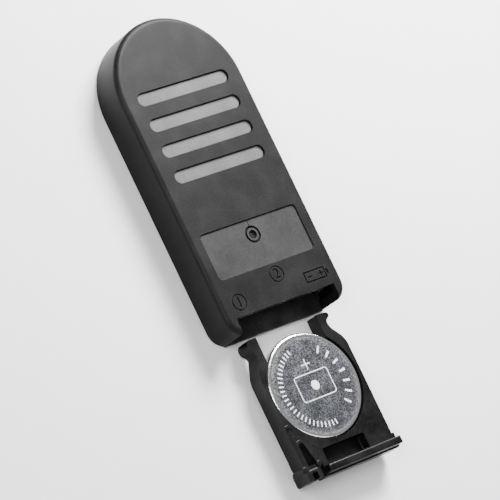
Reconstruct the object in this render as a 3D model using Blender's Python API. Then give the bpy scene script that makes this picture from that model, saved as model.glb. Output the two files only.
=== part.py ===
"""Pocket infrared wireless trigger with a pull-out coin-cell tray.

Lengths are named in millimetres and become metres where a mesh is made. The casing lies on its
front face with its back face up: +Y runs to the nose, +X to the right seen from above, +Z up.
The origin is the middle of the front face. The battery tray is drawn out along its slot.
"""

import math

import bmesh
import bpy

mm = 0.001

# Casing
body_length = 60.0
body_width = 28.0
body_thick = 7.2
side_wall = 1.4
back_wall = 1.1
corner_radius = 3.4
back_edge_radius = 1.0
front_edge_radius = 0.4
front_plate_thick = 1.1
plate_low_edge = 0.3
plate_clear = 0.15
rail_height = 2.0
post_radius = 1.0
post_from_edge = 2.2

# Marks on the back face
groove_count = 4
groove_pitch = 5.14
groove_length = 21.1
groove_width = 2.5
groove_depth = 0.45
first_groove_from_nose = 14.1
recess_length = 22.7
recess_height = 8.9
recess_depth = 0.3
recess_corner = 0.8
recess_from_end = 10.4
gate_radius = 1.65
gate_from_recess_top = 2.8
gate_depth = 0.2
mark_radius = 1.6
mark_line = 0.3
mark_depth = 0.2
mark_places = ((-9.6, 5.7), (0.75, 8.25))

# Coin cell
cell_diameter = 20.0
cell_thick = 2.5
cell_steel = 0.25
cell_gap = 0.1

# Battery tray
pocket_clear = 0.15
rail_wall = 0.65
tray_clear = 0.2
ledge_thick = 0.4
ledge_reach = 1.3
deck_above_cell = 0.15
cell_to_cap = 3.1
cap_ridge = 1.8
cap_depth = 2.8
cap_height = 4.7
cap_overhang = 0.5
head_width = 3.4
head_height = 4.3
head_gap = 1.6
head_channel = 0.9
hook_reach = 1.7
latch_arm = 1.1
latch_bump_radius = 0.55
latch_bump_out = 0.25
latch_gap = 0.2
latch_knuckle = 0.55
latch_bend_share = 0.66
nail_slot_length = 10.0
nail_slot_width = 2.8
nail_slot_depth = 2.0
mouth_clear = 0.4
mouth_notch = 3.1
tray_gap_when_out = 0.8

# Board and what it carries
board_thick = 0.8
board_height = 3.2
board_clear = 0.8
board_from_tray = 1.4
encoder_place = (-4.5, 8.0)
encoder_size = (5.0, 3.9, 1.4)
transistor_place = (5.0, 6.0)
transistor_size = (2.9, 1.3, 1.0)
resonator_place = (4.6, 11.2)
resonator_size = (5.5, 2.2, 1.5)
tantalum_place = (-4.6, 14.0)
tantalum_size = (3.4, 1.9, 1.4)
resistor_places = ((-0.4, 16.5), (2.0, 16.5), (4.4, 16.5))
resistor_size = (0.85, 1.6, 0.5)
ceramic_place = (7.2, 15.5)
ceramic_size = (1.0, 1.7, 0.8)
led_diameter = 3.0
led_flange = 3.8
led_length = 4.6
led_clear = 0.3
window_half_angle = 24.0
window_height = 3.2
part_gap = 0.1
strip_thick = 0.25
strip_width = 4.0
contact_reach = 5.0
contact_gap = 0.15

# Trigger button and its switch
button_diameter = 9.0
button_from_nose = 20.0
button_clear = 0.15
button_flange = 0.9
button_flange_thick = 0.45
button_dish = 0.25
button_post_radius = 1.5
button_ledge = 0.65
button_travel = 0.25
switch_side = 4.5
switch_high = 1.4
plunger_radius = 1.0
plunger_out = 0.2
plunger_root = 0.35

# Places worked out from the sizes above
half_length = body_length / 2
half_width = body_width / 2
nose_centre = half_length - half_width
cavity_top = body_thick - back_wall
cell_radius = cell_diameter / 2
pocket_radius = cell_radius + pocket_clear
tray_half = pocket_radius + rail_wall
tray_bottom = front_plate_thick + tray_clear
cell_bottom = tray_bottom + ledge_thick + cell_gap + 0.05
cell_top = cell_bottom + cell_thick
deck_top = cell_top + deck_above_cell
cap_half = tray_half + cap_overhang
cap_inner = -cell_radius - cell_to_cap
cap_outer = cap_inner - cap_depth
hook_tip = cell_radius + hook_reach
head_inner = -cap_half + head_width
cap_left = head_inner + head_gap
slot_half = cap_half + mouth_clear
home_y = -half_length - cap_outer
tray_travel = half_length + home_y + hook_tip + tray_gap_when_out
rest_y = home_y - tray_travel
board_start = home_y + hook_tip + board_from_tray
board_top = board_height + board_thick
board_mid = board_height + board_thick / 2
board_inset = side_wall + board_clear
led_tip = half_length - side_wall - led_clear
led_base = led_tip - led_length
board_end = led_base - led_clear
button_y = half_length - button_from_nose
recess_y = -half_length + recess_from_end + recess_height / 2


def colour_of(name, rgb, roughness, metallic=0.0):
    """A Principled material."""
    material = bpy.data.materials.new(name)
    material.use_nodes = True
    shader = material.node_tree.nodes["Principled BSDF"]
    shader.inputs["Base Color"].default_value = (*rgb, 1.0)
    shader.inputs["Roughness"].default_value = roughness
    shader.inputs["Metallic"].default_value = metallic
    material.diffuse_color = (*rgb, 1.0)
    return material


def add_mesh(name, mesh_data, material=None):
    """A new object from a bmesh, in metres, with outward faces."""
    bmesh.ops.recalc_face_normals(mesh_data, faces=mesh_data.faces)
    bmesh.ops.scale(mesh_data, vec=(mm, mm, mm), verts=mesh_data.verts)
    mesh = bpy.data.meshes.new(name)
    mesh_data.to_mesh(mesh)
    mesh_data.free()
    mesh.shade_smooth()
    mesh.set_sharp_from_angle(angle=math.radians(35))
    thing = bpy.data.objects.new(name, mesh)
    bpy.context.scene.collection.objects.link(thing)
    if material:
        mesh.materials.append(material)
    return thing


def arc(centre, radius, start, end, steps):
    """Points on an arc, with its ends, from one angle to another in degrees."""
    points = []
    for step in range(steps + 1):
        angle = math.radians(start + (end - start) * step / steps)
        points.append((centre[0] + radius * math.cos(angle), centre[1] + radius * math.sin(angle)))
    return points


def rounded(corners, steps=5):
    """An outline from corners (x, y, radius), each rounded by an arc that touches both sides."""
    points = []
    for index, (x, y, radius) in enumerate(corners):
        before = corners[index - 1]
        after = corners[(index + 1) % len(corners)]
        if radius <= 0:
            points.append((x, y))
            continue
        first = (before[0] - x, before[1] - y)
        second = (after[0] - x, after[1] - y)
        first_length = math.hypot(*first)
        second_length = math.hypot(*second)
        first = (first[0] / first_length, first[1] / first_length)
        second = (second[0] / second_length, second[1] / second_length)
        half = math.acos(max(-1.0, min(1.0, first[0] * second[0] + first[1] * second[1]))) / 2
        back = min(radius / math.tan(half), 0.49 * first_length, 0.49 * second_length)
        radius = back * math.tan(half)
        middle = (first[0] + second[0], first[1] + second[1])
        reach = math.hypot(back, radius) / math.hypot(*middle)
        centre = (x + middle[0] * reach, y + middle[1] * reach)
        start = math.atan2(y + first[1] * back - centre[1], x + first[0] * back - centre[0])
        end = math.atan2(y + second[1] * back - centre[1], x + second[0] * back - centre[0])
        turn = (end - start + math.pi) % (2 * math.pi) - math.pi
        points += arc(centre, radius, math.degrees(start), math.degrees(start + turn), steps)
    return points


def body_outline(inset, nose_steps=36, corner_steps=6):
    """The casing's plan outline, drawn in by inset: a half-round nose and two round corners."""
    half = half_width - inset
    radius = max(corner_radius - inset, 0.3)
    end = -half_length + inset + radius
    points = arc((0, nose_centre), half, 0, 180, nose_steps)
    points += arc((-half + radius, end), radius, 180, 270, corner_steps)
    points += arc((half - radius, end), radius, 270, 360, corner_steps)
    return points


def loft(name, rings, material=None):
    """A closed solid through rings of equal count, each a list of (x, y) at a height."""
    data = bmesh.new()
    rows = [[data.verts.new((x, y, z)) for x, y in ring] for ring, z in rings]
    for lower, upper in zip(rows, rows[1:]):
        for i in range(len(lower)):
            j = (i + 1) % len(lower)
            data.faces.new((lower[i], lower[j], upper[j], upper[i]))
    data.faces.new(list(reversed(rows[0])))
    data.faces.new(rows[-1])
    bmesh.ops.remove_doubles(data, verts=data.verts, dist=0.0005)
    return add_mesh(name, data, material)


def prism(name, outline, low, high, material=None):
    """An outline extruded from one height to another."""
    return loft(name, [(outline, low), (outline, high)], material)


def block(name, low, high, material=None):
    """A box between two corners."""
    outline = [(low[0], low[1]), (high[0], low[1]), (high[0], high[1]), (low[0], high[1])]
    return prism(name, outline, low[2], high[2], material)


def round_bar(name, place, radius, low, high, sides=32, material=None):
    """An upright cylinder at a place in plan."""
    return prism(name, arc(place, radius, 0, 360 - 360 / sides, sides - 1), low, high, material)


def turned(name, profile, place, sides=48, material=None):
    """A closed profile of (radius, height) points turned round an upright axis."""
    data = bmesh.new()
    columns = []
    for side in range(sides):
        angle = 2 * math.pi * side / sides
        x, y = math.cos(angle), math.sin(angle)
        columns.append([data.verts.new((place[0] + r * x, place[1] + r * y, z)) for r, z in profile])
    for side in range(sides):
        here, after = columns[side], columns[(side + 1) % sides]
        for i in range(len(profile)):
            j = (i + 1) % len(profile)
            if profile[i][0] == 0 and profile[j][0] == 0:
                continue
            data.faces.new((here[i], after[i], after[j], here[j]))
    bmesh.ops.remove_doubles(data, verts=data.verts, dist=0.0005)
    return add_mesh(name, data, material)


def combine(target, tool, operation):
    """Leaves a live Boolean on the target, with its tool hidden from the render."""
    tool.hide_render = True
    tool.display_type = "WIRE"
    change = target.modifiers.new(operation.lower() + "_" + tool.name, "BOOLEAN")
    change.operation = operation
    change.object = tool
    change.solver = "EXACT"


def cut(target, tool):
    combine(target, tool, "DIFFERENCE")


def fuse(target, tool):
    combine(target, tool, "UNION")


def stadium(middle, length, width, steps=8):
    """A bar along X with round ends."""
    reach = (length - width) / 2
    right = arc((middle[0] + reach, middle[1]), width / 2, -90, 90, steps)
    left = arc((middle[0] - reach, middle[1]), width / 2, 90, 270, steps)
    return right + left


def rounded_box(middle, length, height, radius):
    """A rectangle in plan with round corners."""
    x, y = middle
    a, b = length / 2, height / 2
    return rounded([(x - a, y - b, radius), (x + a, y - b, radius),
                    (x + a, y + b, radius), (x - a, y + b, radius)])


def ring_cutter(name, place, outer, inner, low, high):
    """A ring standing on end, for sinking a circular line."""
    return turned(name, [(inner, low), (outer, low), (outer, high), (inner, high)], place, 28)


def window_outline(inner, outer, half_angle, steps=14):
    """A curved bar that follows the nose."""
    outside = arc((0, nose_centre), half_width - outer, 90 - half_angle, 90 + half_angle, steps)
    inside = arc((0, nose_centre), half_width - inner, 90 + half_angle, 90 - half_angle, steps)
    return outside + inside


def make_rear_cover(plastic):
    """The deep tub: back face, side walls, grip grooves, label recess and the tray's mouth."""
    rings = []
    for step in range(4):
        angle = math.radians(30 * step)
        inset = front_edge_radius * (1 - math.sin(angle))
        rings.append((body_outline(inset), front_edge_radius * (1 - math.cos(angle))))
    for step in range(6):
        angle = math.radians(18 * step)
        inset = back_edge_radius * (1 - math.cos(angle))
        rings.append((body_outline(inset), body_thick - back_edge_radius * (1 - math.sin(angle))))
    cover = loft("rear_cover", rings, plastic)
    over = body_thick + 1
    cut(cover, prism("cavity", body_outline(side_wall), -1, cavity_top))
    cut(cover, block("mouth", (-slot_half, -half_length - 1, -1),
                     (slot_half, -half_length + mouth_notch, over)))
    for index in range(groove_count):
        y = half_length - first_groove_from_nose - index * groove_pitch
        bar = stadium((0, y), groove_length, groove_width)
        cut(cover, prism(f"groove_{index + 1}", bar, body_thick - groove_depth, over))
    label = rounded_box((0, recess_y), recess_length, recess_height, recess_corner)
    cut(cover, prism("label_recess", label, body_thick - recess_depth, over))
    gate = (0, recess_y + recess_height / 2 - gate_from_recess_top)
    floor = body_thick - recess_depth - gate_depth
    cut(cover, ring_cutter("gate_ring", gate, gate_radius, gate_radius - mark_line * 2, floor, over))
    cut(cover, round_bar("gate_pit", gate, mark_line, floor, over, 16))
    for index, (x, from_end) in enumerate(mark_places):
        place = (x, from_end - half_length)
        low = body_thick - mark_depth
        cut(cover, ring_cutter(f"mark_{index + 1}", place, mark_radius, mark_radius - mark_line, low, over))
    edge = window_half_angle + math.degrees(part_gap / half_width)
    opening = window_outline(side_wall + 1, -1, edge)
    half = window_height / 2 + part_gap
    cut(cover, prism("window_opening", opening, board_mid - half, board_mid + half))
    return cover


def make_front_cover(plastic):
    """The plate that closes the tub, with the tray's floor, guide rails, board posts and button hole."""
    inset = side_wall + plate_clear
    low_edge = plate_low_edge
    outline = body_outline(inset)
    lip = body_outline(inset + low_edge)
    cover = loft("front_cover", [(lip, 0), (outline, low_edge), (outline, front_plate_thick)], plastic)
    reach = slot_half - plate_clear
    end = -half_length
    back = end + mouth_notch + 2
    tongue = loft("mouth_tongue", [
        ([(-reach, end + low_edge), (reach, end + low_edge), (reach, back), (-reach, back)], 0),
        ([(-reach, end), (reach, end), (reach, back), (-reach, back)], low_edge),
        ([(-reach, end), (reach, end), (reach, back), (-reach, back)], front_plate_thick),
    ])
    fuse(cover, tongue)
    rail_in = tray_half + tray_clear + 0.05
    rail_out = half_width - side_wall - 2 * plate_clear
    rail_start = home_y + cap_inner + 2 * tray_clear
    rail_end = home_y + cell_radius
    for side in (-1, 1):
        low_x, high_x = sorted((side * rail_in, side * rail_out))
        rail = block(f"guide_rail_{side}", (low_x, rail_start, front_plate_thick - 0.3),
                     (high_x, rail_end, tray_bottom + rail_height))
        fuse(cover, rail)
    post_x = half_width - board_inset - post_from_edge
    for x in (-post_x, post_x):
        for y in (board_start + 2, nose_centre + 2):
            name = f"post_{x:.0f}_{y:.0f}"
            top = board_height - part_gap
            fuse(cover, round_bar(name, (x, y), post_radius, front_plate_thick - 0.3, top, 16))
    hole = button_diameter / 2 + button_clear
    cut(cover, round_bar("button_hole", (0, button_y), hole, -1, front_plate_thick + 1, 40))
    seat = hole + button_flange + button_clear
    cut(cover, round_bar("button_seat", (0, button_y), seat, button_ledge, front_plate_thick + 1, 40))
    return cover


def make_button(plastic):
    """The trigger: a shallow dished cap, its flange behind the plate and the post that works the switch."""
    radius = button_diameter / 2
    flange = radius + button_flange
    low = button_ledge + part_gap
    top = low + button_flange_thick
    post = board_height - part_gap - switch_high - plunger_out - part_gap
    profile = [(0, button_dish), (radius * 0.5, button_dish * 0.75), (radius - 0.6, 0.06),
               (radius - 0.3, 0), (radius, 0.2), (radius, low), (flange, low), (flange, top),
               (button_post_radius, top), (button_post_radius, post), (0, post)]
    return turned("trigger_button", profile, (0, button_y), 32, plastic)


def make_switch(materials):
    """A low tactile switch under the board, with a plunger that slides in it."""
    top = board_height - part_gap
    low = top - switch_high
    half = switch_side / 2
    outline = rounded_box((0, button_y), switch_side, switch_side, 0.4)
    base = prism("switch_base", outline, low, top, materials["switch"])
    sink = button_travel + plunger_root + part_gap
    bore = plunger_radius + part_gap
    cut(base, round_bar("plunger_bore", (0, button_y), bore, low - 1, low + sink + part_gap))
    for x in (-half - 0.3, half - 0.2):
        for y in (-1.2, 1.2):
            pin = block(f"switch_leg_{x:.1f}_{y:.1f}", (x, button_y + y - 0.35, top - 0.25),
                        (x + 0.5, button_y + y + 0.35, top - 0.02))
            fuse(base, pin)
    profile = [(0, low - plunger_out), (plunger_radius - 0.1, low - plunger_out),
               (plunger_radius, low - plunger_out + 0.08), (plunger_radius, low + plunger_root),
               (0, low + plunger_root)]
    turned("switch_plunger", profile, (0, button_y), 24, materials["plunger"])
    return base


def make_board(materials):
    """The circuit board, square at the tray's end and cut off straight behind the lamp."""
    half = half_width - board_inset
    angle = math.degrees(math.asin(min(1, (board_end - nose_centre) / half)))
    outline = [(-half, board_start), (half, board_start)]
    outline += arc((0, nose_centre), half, 0, angle, 10)
    outline += arc((0, nose_centre), half, 180 - angle, 180, 10)
    return prism("circuit_board", outline, board_height, board_top, materials["board"])


def make_lamp(materials):
    """The infrared lamp, lying along +Y with its dome behind the window, and its two leads."""
    radius = led_diameter / 2
    dome = [(radius * math.cos(math.radians(a)), led_tip - radius + radius * math.sin(math.radians(a)))
            for a in range(0, 90, 15)]
    profile = [(0, led_base), (led_flange / 2, led_base), (led_flange / 2, led_base + 0.8),
               (radius, led_base + 0.8)] + dome + [(0, led_tip)]
    data = bmesh.new()
    sides = 20
    columns = []
    for side in range(sides):
        turn = 2 * math.pi * side / sides
        columns.append([data.verts.new((r * math.cos(turn), y, board_mid + r * math.sin(turn)))
                        for r, y in profile])
    for side in range(sides):
        here, after = columns[side], columns[(side + 1) % sides]
        for i in range(len(profile) - 1):
            data.faces.new((here[i], after[i], after[i + 1], here[i + 1]))
    bmesh.ops.remove_doubles(data, verts=data.verts, dist=0.0005)
    add_mesh("ir_led", data, materials["lamp"])
    for side, name in ((-1, "led_lead_left"), (1, "led_lead_right")):
        x = side * 1.27
        path = [(board_end - 2.5, board_top + 0.35), (board_end + 0.05, board_top + 0.35),
                (led_base - part_gap, board_mid + 0.25)]
        bent_strip(name, x, 0.5, 0.35, path, materials["tin"])


def bent_strip(name, x, width, thick, path, material):
    """A strip of metal bent in the YZ plane along the middle of its thickness."""
    upper, lower = [], []
    for index, (y, z) in enumerate(path):
        before = path[max(index - 1, 0)]
        after = path[min(index + 1, len(path) - 1)]
        run, rise = after[0] - before[0], after[1] - before[1]
        size = math.hypot(run, rise)
        shift = (-rise / size * thick / 2, run / size * thick / 2)
        upper.append((y + shift[0], z + shift[1]))
        lower.append((y - shift[0], z - shift[1]))
    outline = upper + lower[::-1]
    data = bmesh.new()
    sides = [[data.verts.new((x + side * width / 2, y, z)) for y, z in outline] for side in (-1, 1)]
    for i in range(len(outline)):
        j = (i + 1) % len(outline)
        data.faces.new((sides[0][i], sides[0][j], sides[1][j], sides[1][i]))
    count = len(path)
    for row in sides:
        for i in range(count - 1):
            data.faces.new((row[i], row[i + 1], row[2 * count - 2 - i], row[2 * count - 1 - i]))
    return add_mesh(name, data, material)


def make_contacts(materials):
    """Two spring strips from the board: one bears on the cell's top, one under it."""
    edge = home_y + cell_radius
    tip = edge - contact_reach
    above = cell_top + contact_gap + strip_thick / 2
    below = cell_bottom - contact_gap - strip_thick / 2
    foot_top = board_top + part_gap + strip_thick / 2
    foot_under = board_height - part_gap - strip_thick / 2
    high = above + 0.75
    low = front_plate_thick + part_gap + strip_thick / 2
    over = [(board_start + 3, foot_top), (board_start + 0.4, foot_top), (board_start - 0.8, high - 0.2),
            (board_start - 1.6, high), (edge - 0.5, high - 0.05), (tip + 1.8, above + 0.08),
            (tip + 1.1, above), (tip + 0.4, above + 0.12), (tip, above + 0.4)]
    under = [(board_start + 3, foot_under), (board_start + 0.4, foot_under),
             (board_start - 0.8, low + 0.2), (board_start - 1.6, low), (edge - 0.5, low),
             (tip + 1.8, below - 0.03), (tip + 1.1, below), (tip + 0.4, below - 0.05), (tip, low)]
    bent_strip("positive_contact", 0, strip_width, strip_thick, over, materials["spring"])
    bent_strip("negative_contact", 0, strip_width, strip_thick, under, materials["spring"])


def make_chip(name, place, size, pins, materials):
    """A small chip package with a row of flat leads on both long sides."""
    x, y = place
    long, wide, high = size
    low = board_top + part_gap
    body = prism(name, rounded_box(place, long, wide, 0.1), low, low + high, materials["chip"])
    for index in range(pins):
        along = x + (index - (pins - 1) / 2) * long / (pins + 0.2)
        pin = block(f"{name}_pin_{index}", (along - 0.2, y - wide / 2 - 0.8, low + 0.02),
                    (along + 0.2, y + wide / 2 + 0.8, low + 0.25))
        fuse(body, pin)
    return body


def on_board(place):
    """A place on the board, counted from its tray end."""
    return (place[0], board_start + place[1])


def add_component(name, place, size, radius, material):
    """A plain component body standing on the board."""
    low = board_top + part_gap
    outline = rounded_box(on_board(place), size[0], size[1], radius)
    return prism(name, outline, low, low + size[2], material)


def make_board_parts(materials):
    """What is soldered on the board's upper side."""
    make_chip("encoder_chip", on_board(encoder_place), encoder_size, 4, materials)
    make_chip("driver_transistor", on_board(transistor_place), transistor_size, 2, materials)
    add_component("ceramic_resonator", resonator_place, resonator_size, 0.9, materials["resonator"])
    add_component("bulk_capacitor", tantalum_place, tantalum_size, 0.15, materials["tantalum"])
    for index, place in enumerate(resistor_places):
        add_component(f"resistor_{index + 1}", place, resistor_size, 0.08, materials["resistor"])
    add_component("small_capacitor", ceramic_place, ceramic_size, 0.12, materials["ceramic"])


def make_window(plastic):
    """The infrared window let into the nose."""
    bar = window_outline(side_wall, 0, window_half_angle)
    half = window_height / 2
    return prism("ir_window", bar, board_mid - half, board_mid + half, plastic)


def hooked_outline():
    """The tray frame seen from above, from the cell's centre: plate, two arms and their hooks."""
    right, left = tray_half, -tray_half
    shoulder = hook_tip - 5.7
    slot_x = left + latch_arm + 0.95
    return rounded([
        (cap_half, cap_outer, 0.4), (cap_half, cap_inner, 0.2), (right, cap_inner, 0.1),
        (right, shoulder, 1.6), (right - 2.3, hook_tip - 2.8, 1.0), (right - 2.3, hook_tip - 1.6, 0.3),
        (right - 1.2, hook_tip - 0.9, 0.3), (right - 1.3, hook_tip - 0.2, 0.3), (right - 2.4, hook_tip, 0.3),
        (left + 1.2, hook_tip, 0.4), (left + 0.5, hook_tip - 0.9, 0.4), (left + 0.7, hook_tip - 1.8, 0.3),
        (left + 1.8, hook_tip - 3.0, 0.6), (left, shoulder - 1.2, 1.2),
        (left, latch_pivot()[1] + latch_knuckle + latch_gap, 0.2),
        (slot_x, latch_pivot()[1] + latch_knuckle + latch_gap, 0.1),
        (slot_x + 0.35, latch_pivot()[1] - 1.8, 0.5), (cap_left - 0.8, cap_inner + 0.1, 0.2),
        (cap_left, cap_inner - 0.2, 0.1), (cap_left, cap_outer, 0.4),
    ], 4)


def latch_pivot():
    """Where the latch arm bends, from the cell's centre."""
    return (-tray_half + latch_knuckle + 0.05, -latch_bend_share * cell_radius)


def make_tray(plastic):
    """The tray: plate with a through pocket and ledges, end cap with a ridge, nail slot and hooks."""
    centre = (0, rest_y)
    outline = [(x, y + rest_y) for x, y in hooked_outline()]
    frame = prism("tray_frame", outline, tray_bottom, deck_top, plastic)
    cut(frame, round_bar("pocket", centre, pocket_radius, tray_bottom - 1, deck_top + 1, 60))
    gap = block("arm_gap", (-tray_half + 3.1, rest_y, tray_bottom - 1),
                (tray_half - 3.9, rest_y + hook_tip + 1, deck_top + 1))
    cut(frame, gap)
    knuckle = (latch_pivot()[0], latch_pivot()[1] + rest_y)
    cut(frame, round_bar("knuckle_socket", knuckle, latch_knuckle + latch_gap,
                         tray_bottom - 1, deck_top + 1, 24))
    outside = arc(centre, pocket_radius + 0.3, 40, -220, 48)
    inside = arc(centre, pocket_radius - ledge_reach, -220, 40, 48)
    fuse(frame, prism("cell_ledge", outside + inside, tray_bottom + 0.001, tray_bottom + ledge_thick))
    ridge = rounded([(cap_left + 0.001, rest_y + cap_outer + 0.001, 0.4),
                     (cap_half - 0.001, rest_y + cap_outer + 0.001, 0.4),
                     (cap_half - 0.001, rest_y + cap_outer + cap_ridge, 0.2),
                     (cap_left + 0.001, rest_y + cap_outer + cap_ridge, 0.2)])
    fuse(frame, prism("cap_ridge", ridge, tray_bottom + 0.3, tray_bottom + cap_height))
    half = nail_slot_length / 2
    start = rest_y + cap_outer + cap_ridge + 0.3
    slot = rounded([(-half, start, 0.3), (half, start, 0.3), (half, start + nail_slot_width, 0.3),
                    (-half, start + nail_slot_width, 0.3)])
    cut(frame, prism("nail_slot", slot, deck_top - nail_slot_depth, deck_top + 1))
    return frame


def make_latch(plastic):
    """The latch: a springy arm from its bend, a forked head at the cap and a small round catch."""
    x, y = latch_pivot()
    y += rest_y
    outer = -tray_half + 0.05
    inner = outer + latch_arm
    head_start = rest_y + cap_inner
    head_end = rest_y + cap_outer
    arm = rounded([(outer, y, 0), (inner, y, 0), (inner + 0.1, head_start, 0),
                   (inner + 0.1, head_start - 0.5, 0), (outer, head_start - 0.5, 0)])
    lever = prism("latch_lever", arm, tray_bottom, deck_top, plastic)
    fuse(lever, round_bar("latch_bend", (x, y), latch_knuckle, tray_bottom + 0.001, deck_top - 0.001, 24))
    head = rounded([(-cap_half, head_end, 0.4), (head_inner, head_end, 0.4),
                    (head_inner, head_start, 0.3), (-cap_half, head_start, 0.3)])
    fuse(lever, prism("latch_head", head, tray_bottom - 0.001, tray_bottom + head_height))
    middle = -cap_half + head_width / 2
    channel = block("head_channel", (middle - head_channel / 2, head_end - 1, tray_bottom + 0.8),
                    (middle + head_channel / 2, head_end + 1.5, tray_bottom + head_height + 1))
    cut(lever, channel)
    bump = (-cap_half - latch_bump_out + latch_bump_radius, head_start - 0.5)
    fuse(lever, round_bar("latch_bump", bump, latch_bump_radius, tray_bottom + 0.5,
                          tray_bottom + head_height - 0.5, 24))
    return lever


def make_cell(materials):
    """The coin cell: steel can, gasket, cap and the discs inside, each its own piece."""
    centre = (0, rest_y)
    radius, steel, gap = cell_radius, cell_steel, cell_gap
    low, top = cell_bottom, cell_top
    inside = radius - steel
    cap_radius = inside - 0.8
    can = [(0, top), (radius - 0.5, top), (radius - 0.22, top - 0.08), (radius - 0.06, top - 0.25),
           (radius, top - 0.5), (radius, low + 0.45), (radius - 0.15, low + 0.12),
           (radius - 0.45, low + 0.02), (radius - 0.75, low + 0.05), (radius - 0.75, low + 0.25),
           (inside, low + 0.4),
           (inside, top - steel - 0.3), (inside - 0.3, top - steel), (0, top - steel)]
    turned("cell_can", can, centre, 60, materials["can"])
    cap = [(0, low), (cap_radius - 0.3, low), (cap_radius, low + 0.25), (cap_radius, low + 1.1),
           (cap_radius - steel, low + 1.1), (cap_radius - steel, low + 0.4),
           (cap_radius - 0.45, low + steel), (0, low + steel)]
    turned("cell_cap", cap, centre, 36, materials["cap"])
    gasket = [(cap_radius + gap, low + 0.45), (inside - gap, low + 0.55),
              (inside - gap, low + 1.25), (cap_radius + gap, low + 1.25)]
    turned("cell_gasket", gasket, centre, 36, materials["gasket"])
    disc_radius = cap_radius - steel - gap
    level = low + steel + gap
    for name, thick in (("lithium_disc", 0.5), ("separator", 0.1), ("cathode_pellet", 0)):
        high = level + thick if thick else top - steel - gap
        disc = [(0, level), (disc_radius - 0.05, level), (disc_radius, level + 0.03),
                (disc_radius, high - 0.03), (disc_radius - 0.05, high), (0, high)]
        turned(name, disc, centre, 28, materials[name])
        level = high + gap


def make_materials():
    """One finish for each kind of piece."""
    return {
        "case": colour_of("case_plastic", (0.035, 0.035, 0.038), 0.5),
        "front": colour_of("front_plastic", (0.03, 0.03, 0.032), 0.45),
        "tray": colour_of("tray_plastic", (0.02, 0.02, 0.021), 0.4),
        "latch": colour_of("latch_plastic", (0.02, 0.02, 0.021), 0.4),
        "button": colour_of("button_plastic", (0.12, 0.12, 0.125), 0.5),
        "window": colour_of("window_plastic", (0.03, 0.004, 0.006), 0.12),
        "board": colour_of("board_laminate", (0.05, 0.2, 0.08), 0.45),
        "lamp": colour_of("lamp_resin", (0.12, 0.1, 0.2), 0.1),
        "tin": colour_of("tinned_wire", (0.7, 0.7, 0.68), 0.3, 1.0),
        "spring": colour_of("spring_steel", (0.75, 0.73, 0.68), 0.25, 1.0),
        "chip": colour_of("chip_epoxy", (0.02, 0.02, 0.02), 0.5),
        "resonator": colour_of("resonator_resin", (0.55, 0.3, 0.08), 0.4),
        "tantalum": colour_of("tantalum_case", (0.75, 0.5, 0.1), 0.4),
        "resistor": colour_of("resistor_glaze", (0.03, 0.03, 0.035), 0.3),
        "ceramic": colour_of("capacitor_ceramic", (0.45, 0.33, 0.2), 0.45),
        "switch": colour_of("switch_plastic", (0.05, 0.05, 0.05), 0.5),
        "plunger": colour_of("plunger_plastic", (0.6, 0.6, 0.58), 0.5),
        "can": colour_of("can_steel", (0.55, 0.56, 0.6), 0.25, 1.0),
        "cap": colour_of("cap_steel", (0.6, 0.6, 0.62), 0.3, 1.0),
        "gasket": colour_of("gasket_nylon", (0.75, 0.75, 0.7), 0.5),
        "lithium_disc": colour_of("lithium_metal", (0.65, 0.66, 0.68), 0.5, 1.0),
        "separator": colour_of("separator_felt", (0.85, 0.85, 0.82), 0.9),
        "cathode_pellet": colour_of("cathode_mix", (0.02, 0.02, 0.02), 0.9),
    }


def main():
    for thing in list(bpy.data.objects):
        bpy.data.objects.remove(thing, do_unlink=True)
    materials = make_materials()
    make_rear_cover(materials["case"])
    make_front_cover(materials["front"])
    make_window(materials["window"])
    make_board(materials)
    make_board_parts(materials)
    make_lamp(materials)
    make_contacts(materials)
    make_switch(materials)
    make_button(materials["button"])
    make_tray(materials["tray"])
    make_latch(materials["latch"])
    make_cell(materials)


main()
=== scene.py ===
import math

import bmesh
import bpy
from mathutils import Matrix, Vector


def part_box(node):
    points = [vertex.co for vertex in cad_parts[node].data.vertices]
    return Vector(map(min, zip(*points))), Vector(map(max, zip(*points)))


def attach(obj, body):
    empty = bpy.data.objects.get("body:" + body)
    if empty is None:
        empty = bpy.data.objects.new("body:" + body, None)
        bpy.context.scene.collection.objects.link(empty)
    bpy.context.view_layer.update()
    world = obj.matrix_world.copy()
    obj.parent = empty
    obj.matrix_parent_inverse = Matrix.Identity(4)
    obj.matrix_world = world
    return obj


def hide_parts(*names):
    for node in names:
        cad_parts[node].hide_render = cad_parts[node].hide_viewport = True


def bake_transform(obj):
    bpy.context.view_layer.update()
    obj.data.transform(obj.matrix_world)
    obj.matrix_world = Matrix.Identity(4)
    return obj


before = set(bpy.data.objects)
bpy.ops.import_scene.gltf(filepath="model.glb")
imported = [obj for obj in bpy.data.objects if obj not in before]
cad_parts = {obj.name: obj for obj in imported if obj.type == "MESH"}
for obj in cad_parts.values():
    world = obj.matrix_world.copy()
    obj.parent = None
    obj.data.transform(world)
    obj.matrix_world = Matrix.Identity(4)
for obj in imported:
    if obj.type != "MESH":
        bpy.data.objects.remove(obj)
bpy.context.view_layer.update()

mm = 0.001


# Places taken from the frame, in millimetres

def boxOf(node):
    low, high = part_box(node)
    return [value / mm for value in low], [value / mm for value in high]


halfWidth, halfLength, backFace = boxOf("rear_cover")[1]
windowLow, windowHigh = boxOf("ir_window")
buttonLow, buttonHigh = boxOf("trigger_button")
trayLow, trayHigh = boxOf("tray_frame")
latchLow = boxOf("latch_lever")[0]
cellLow, cellHigh = boxOf("cell_can")

noseCentre = halfLength - halfWidth
cellRadius = (cellHigh[0] - cellLow[0]) / 2
cellX = (cellHigh[0] + cellLow[0]) / 2
cellY = (cellHigh[1] + cellLow[1]) / 2
buttonY = (buttonHigh[1] + buttonLow[1]) / 2


# Handwork: one function for each habit at the bench

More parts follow.
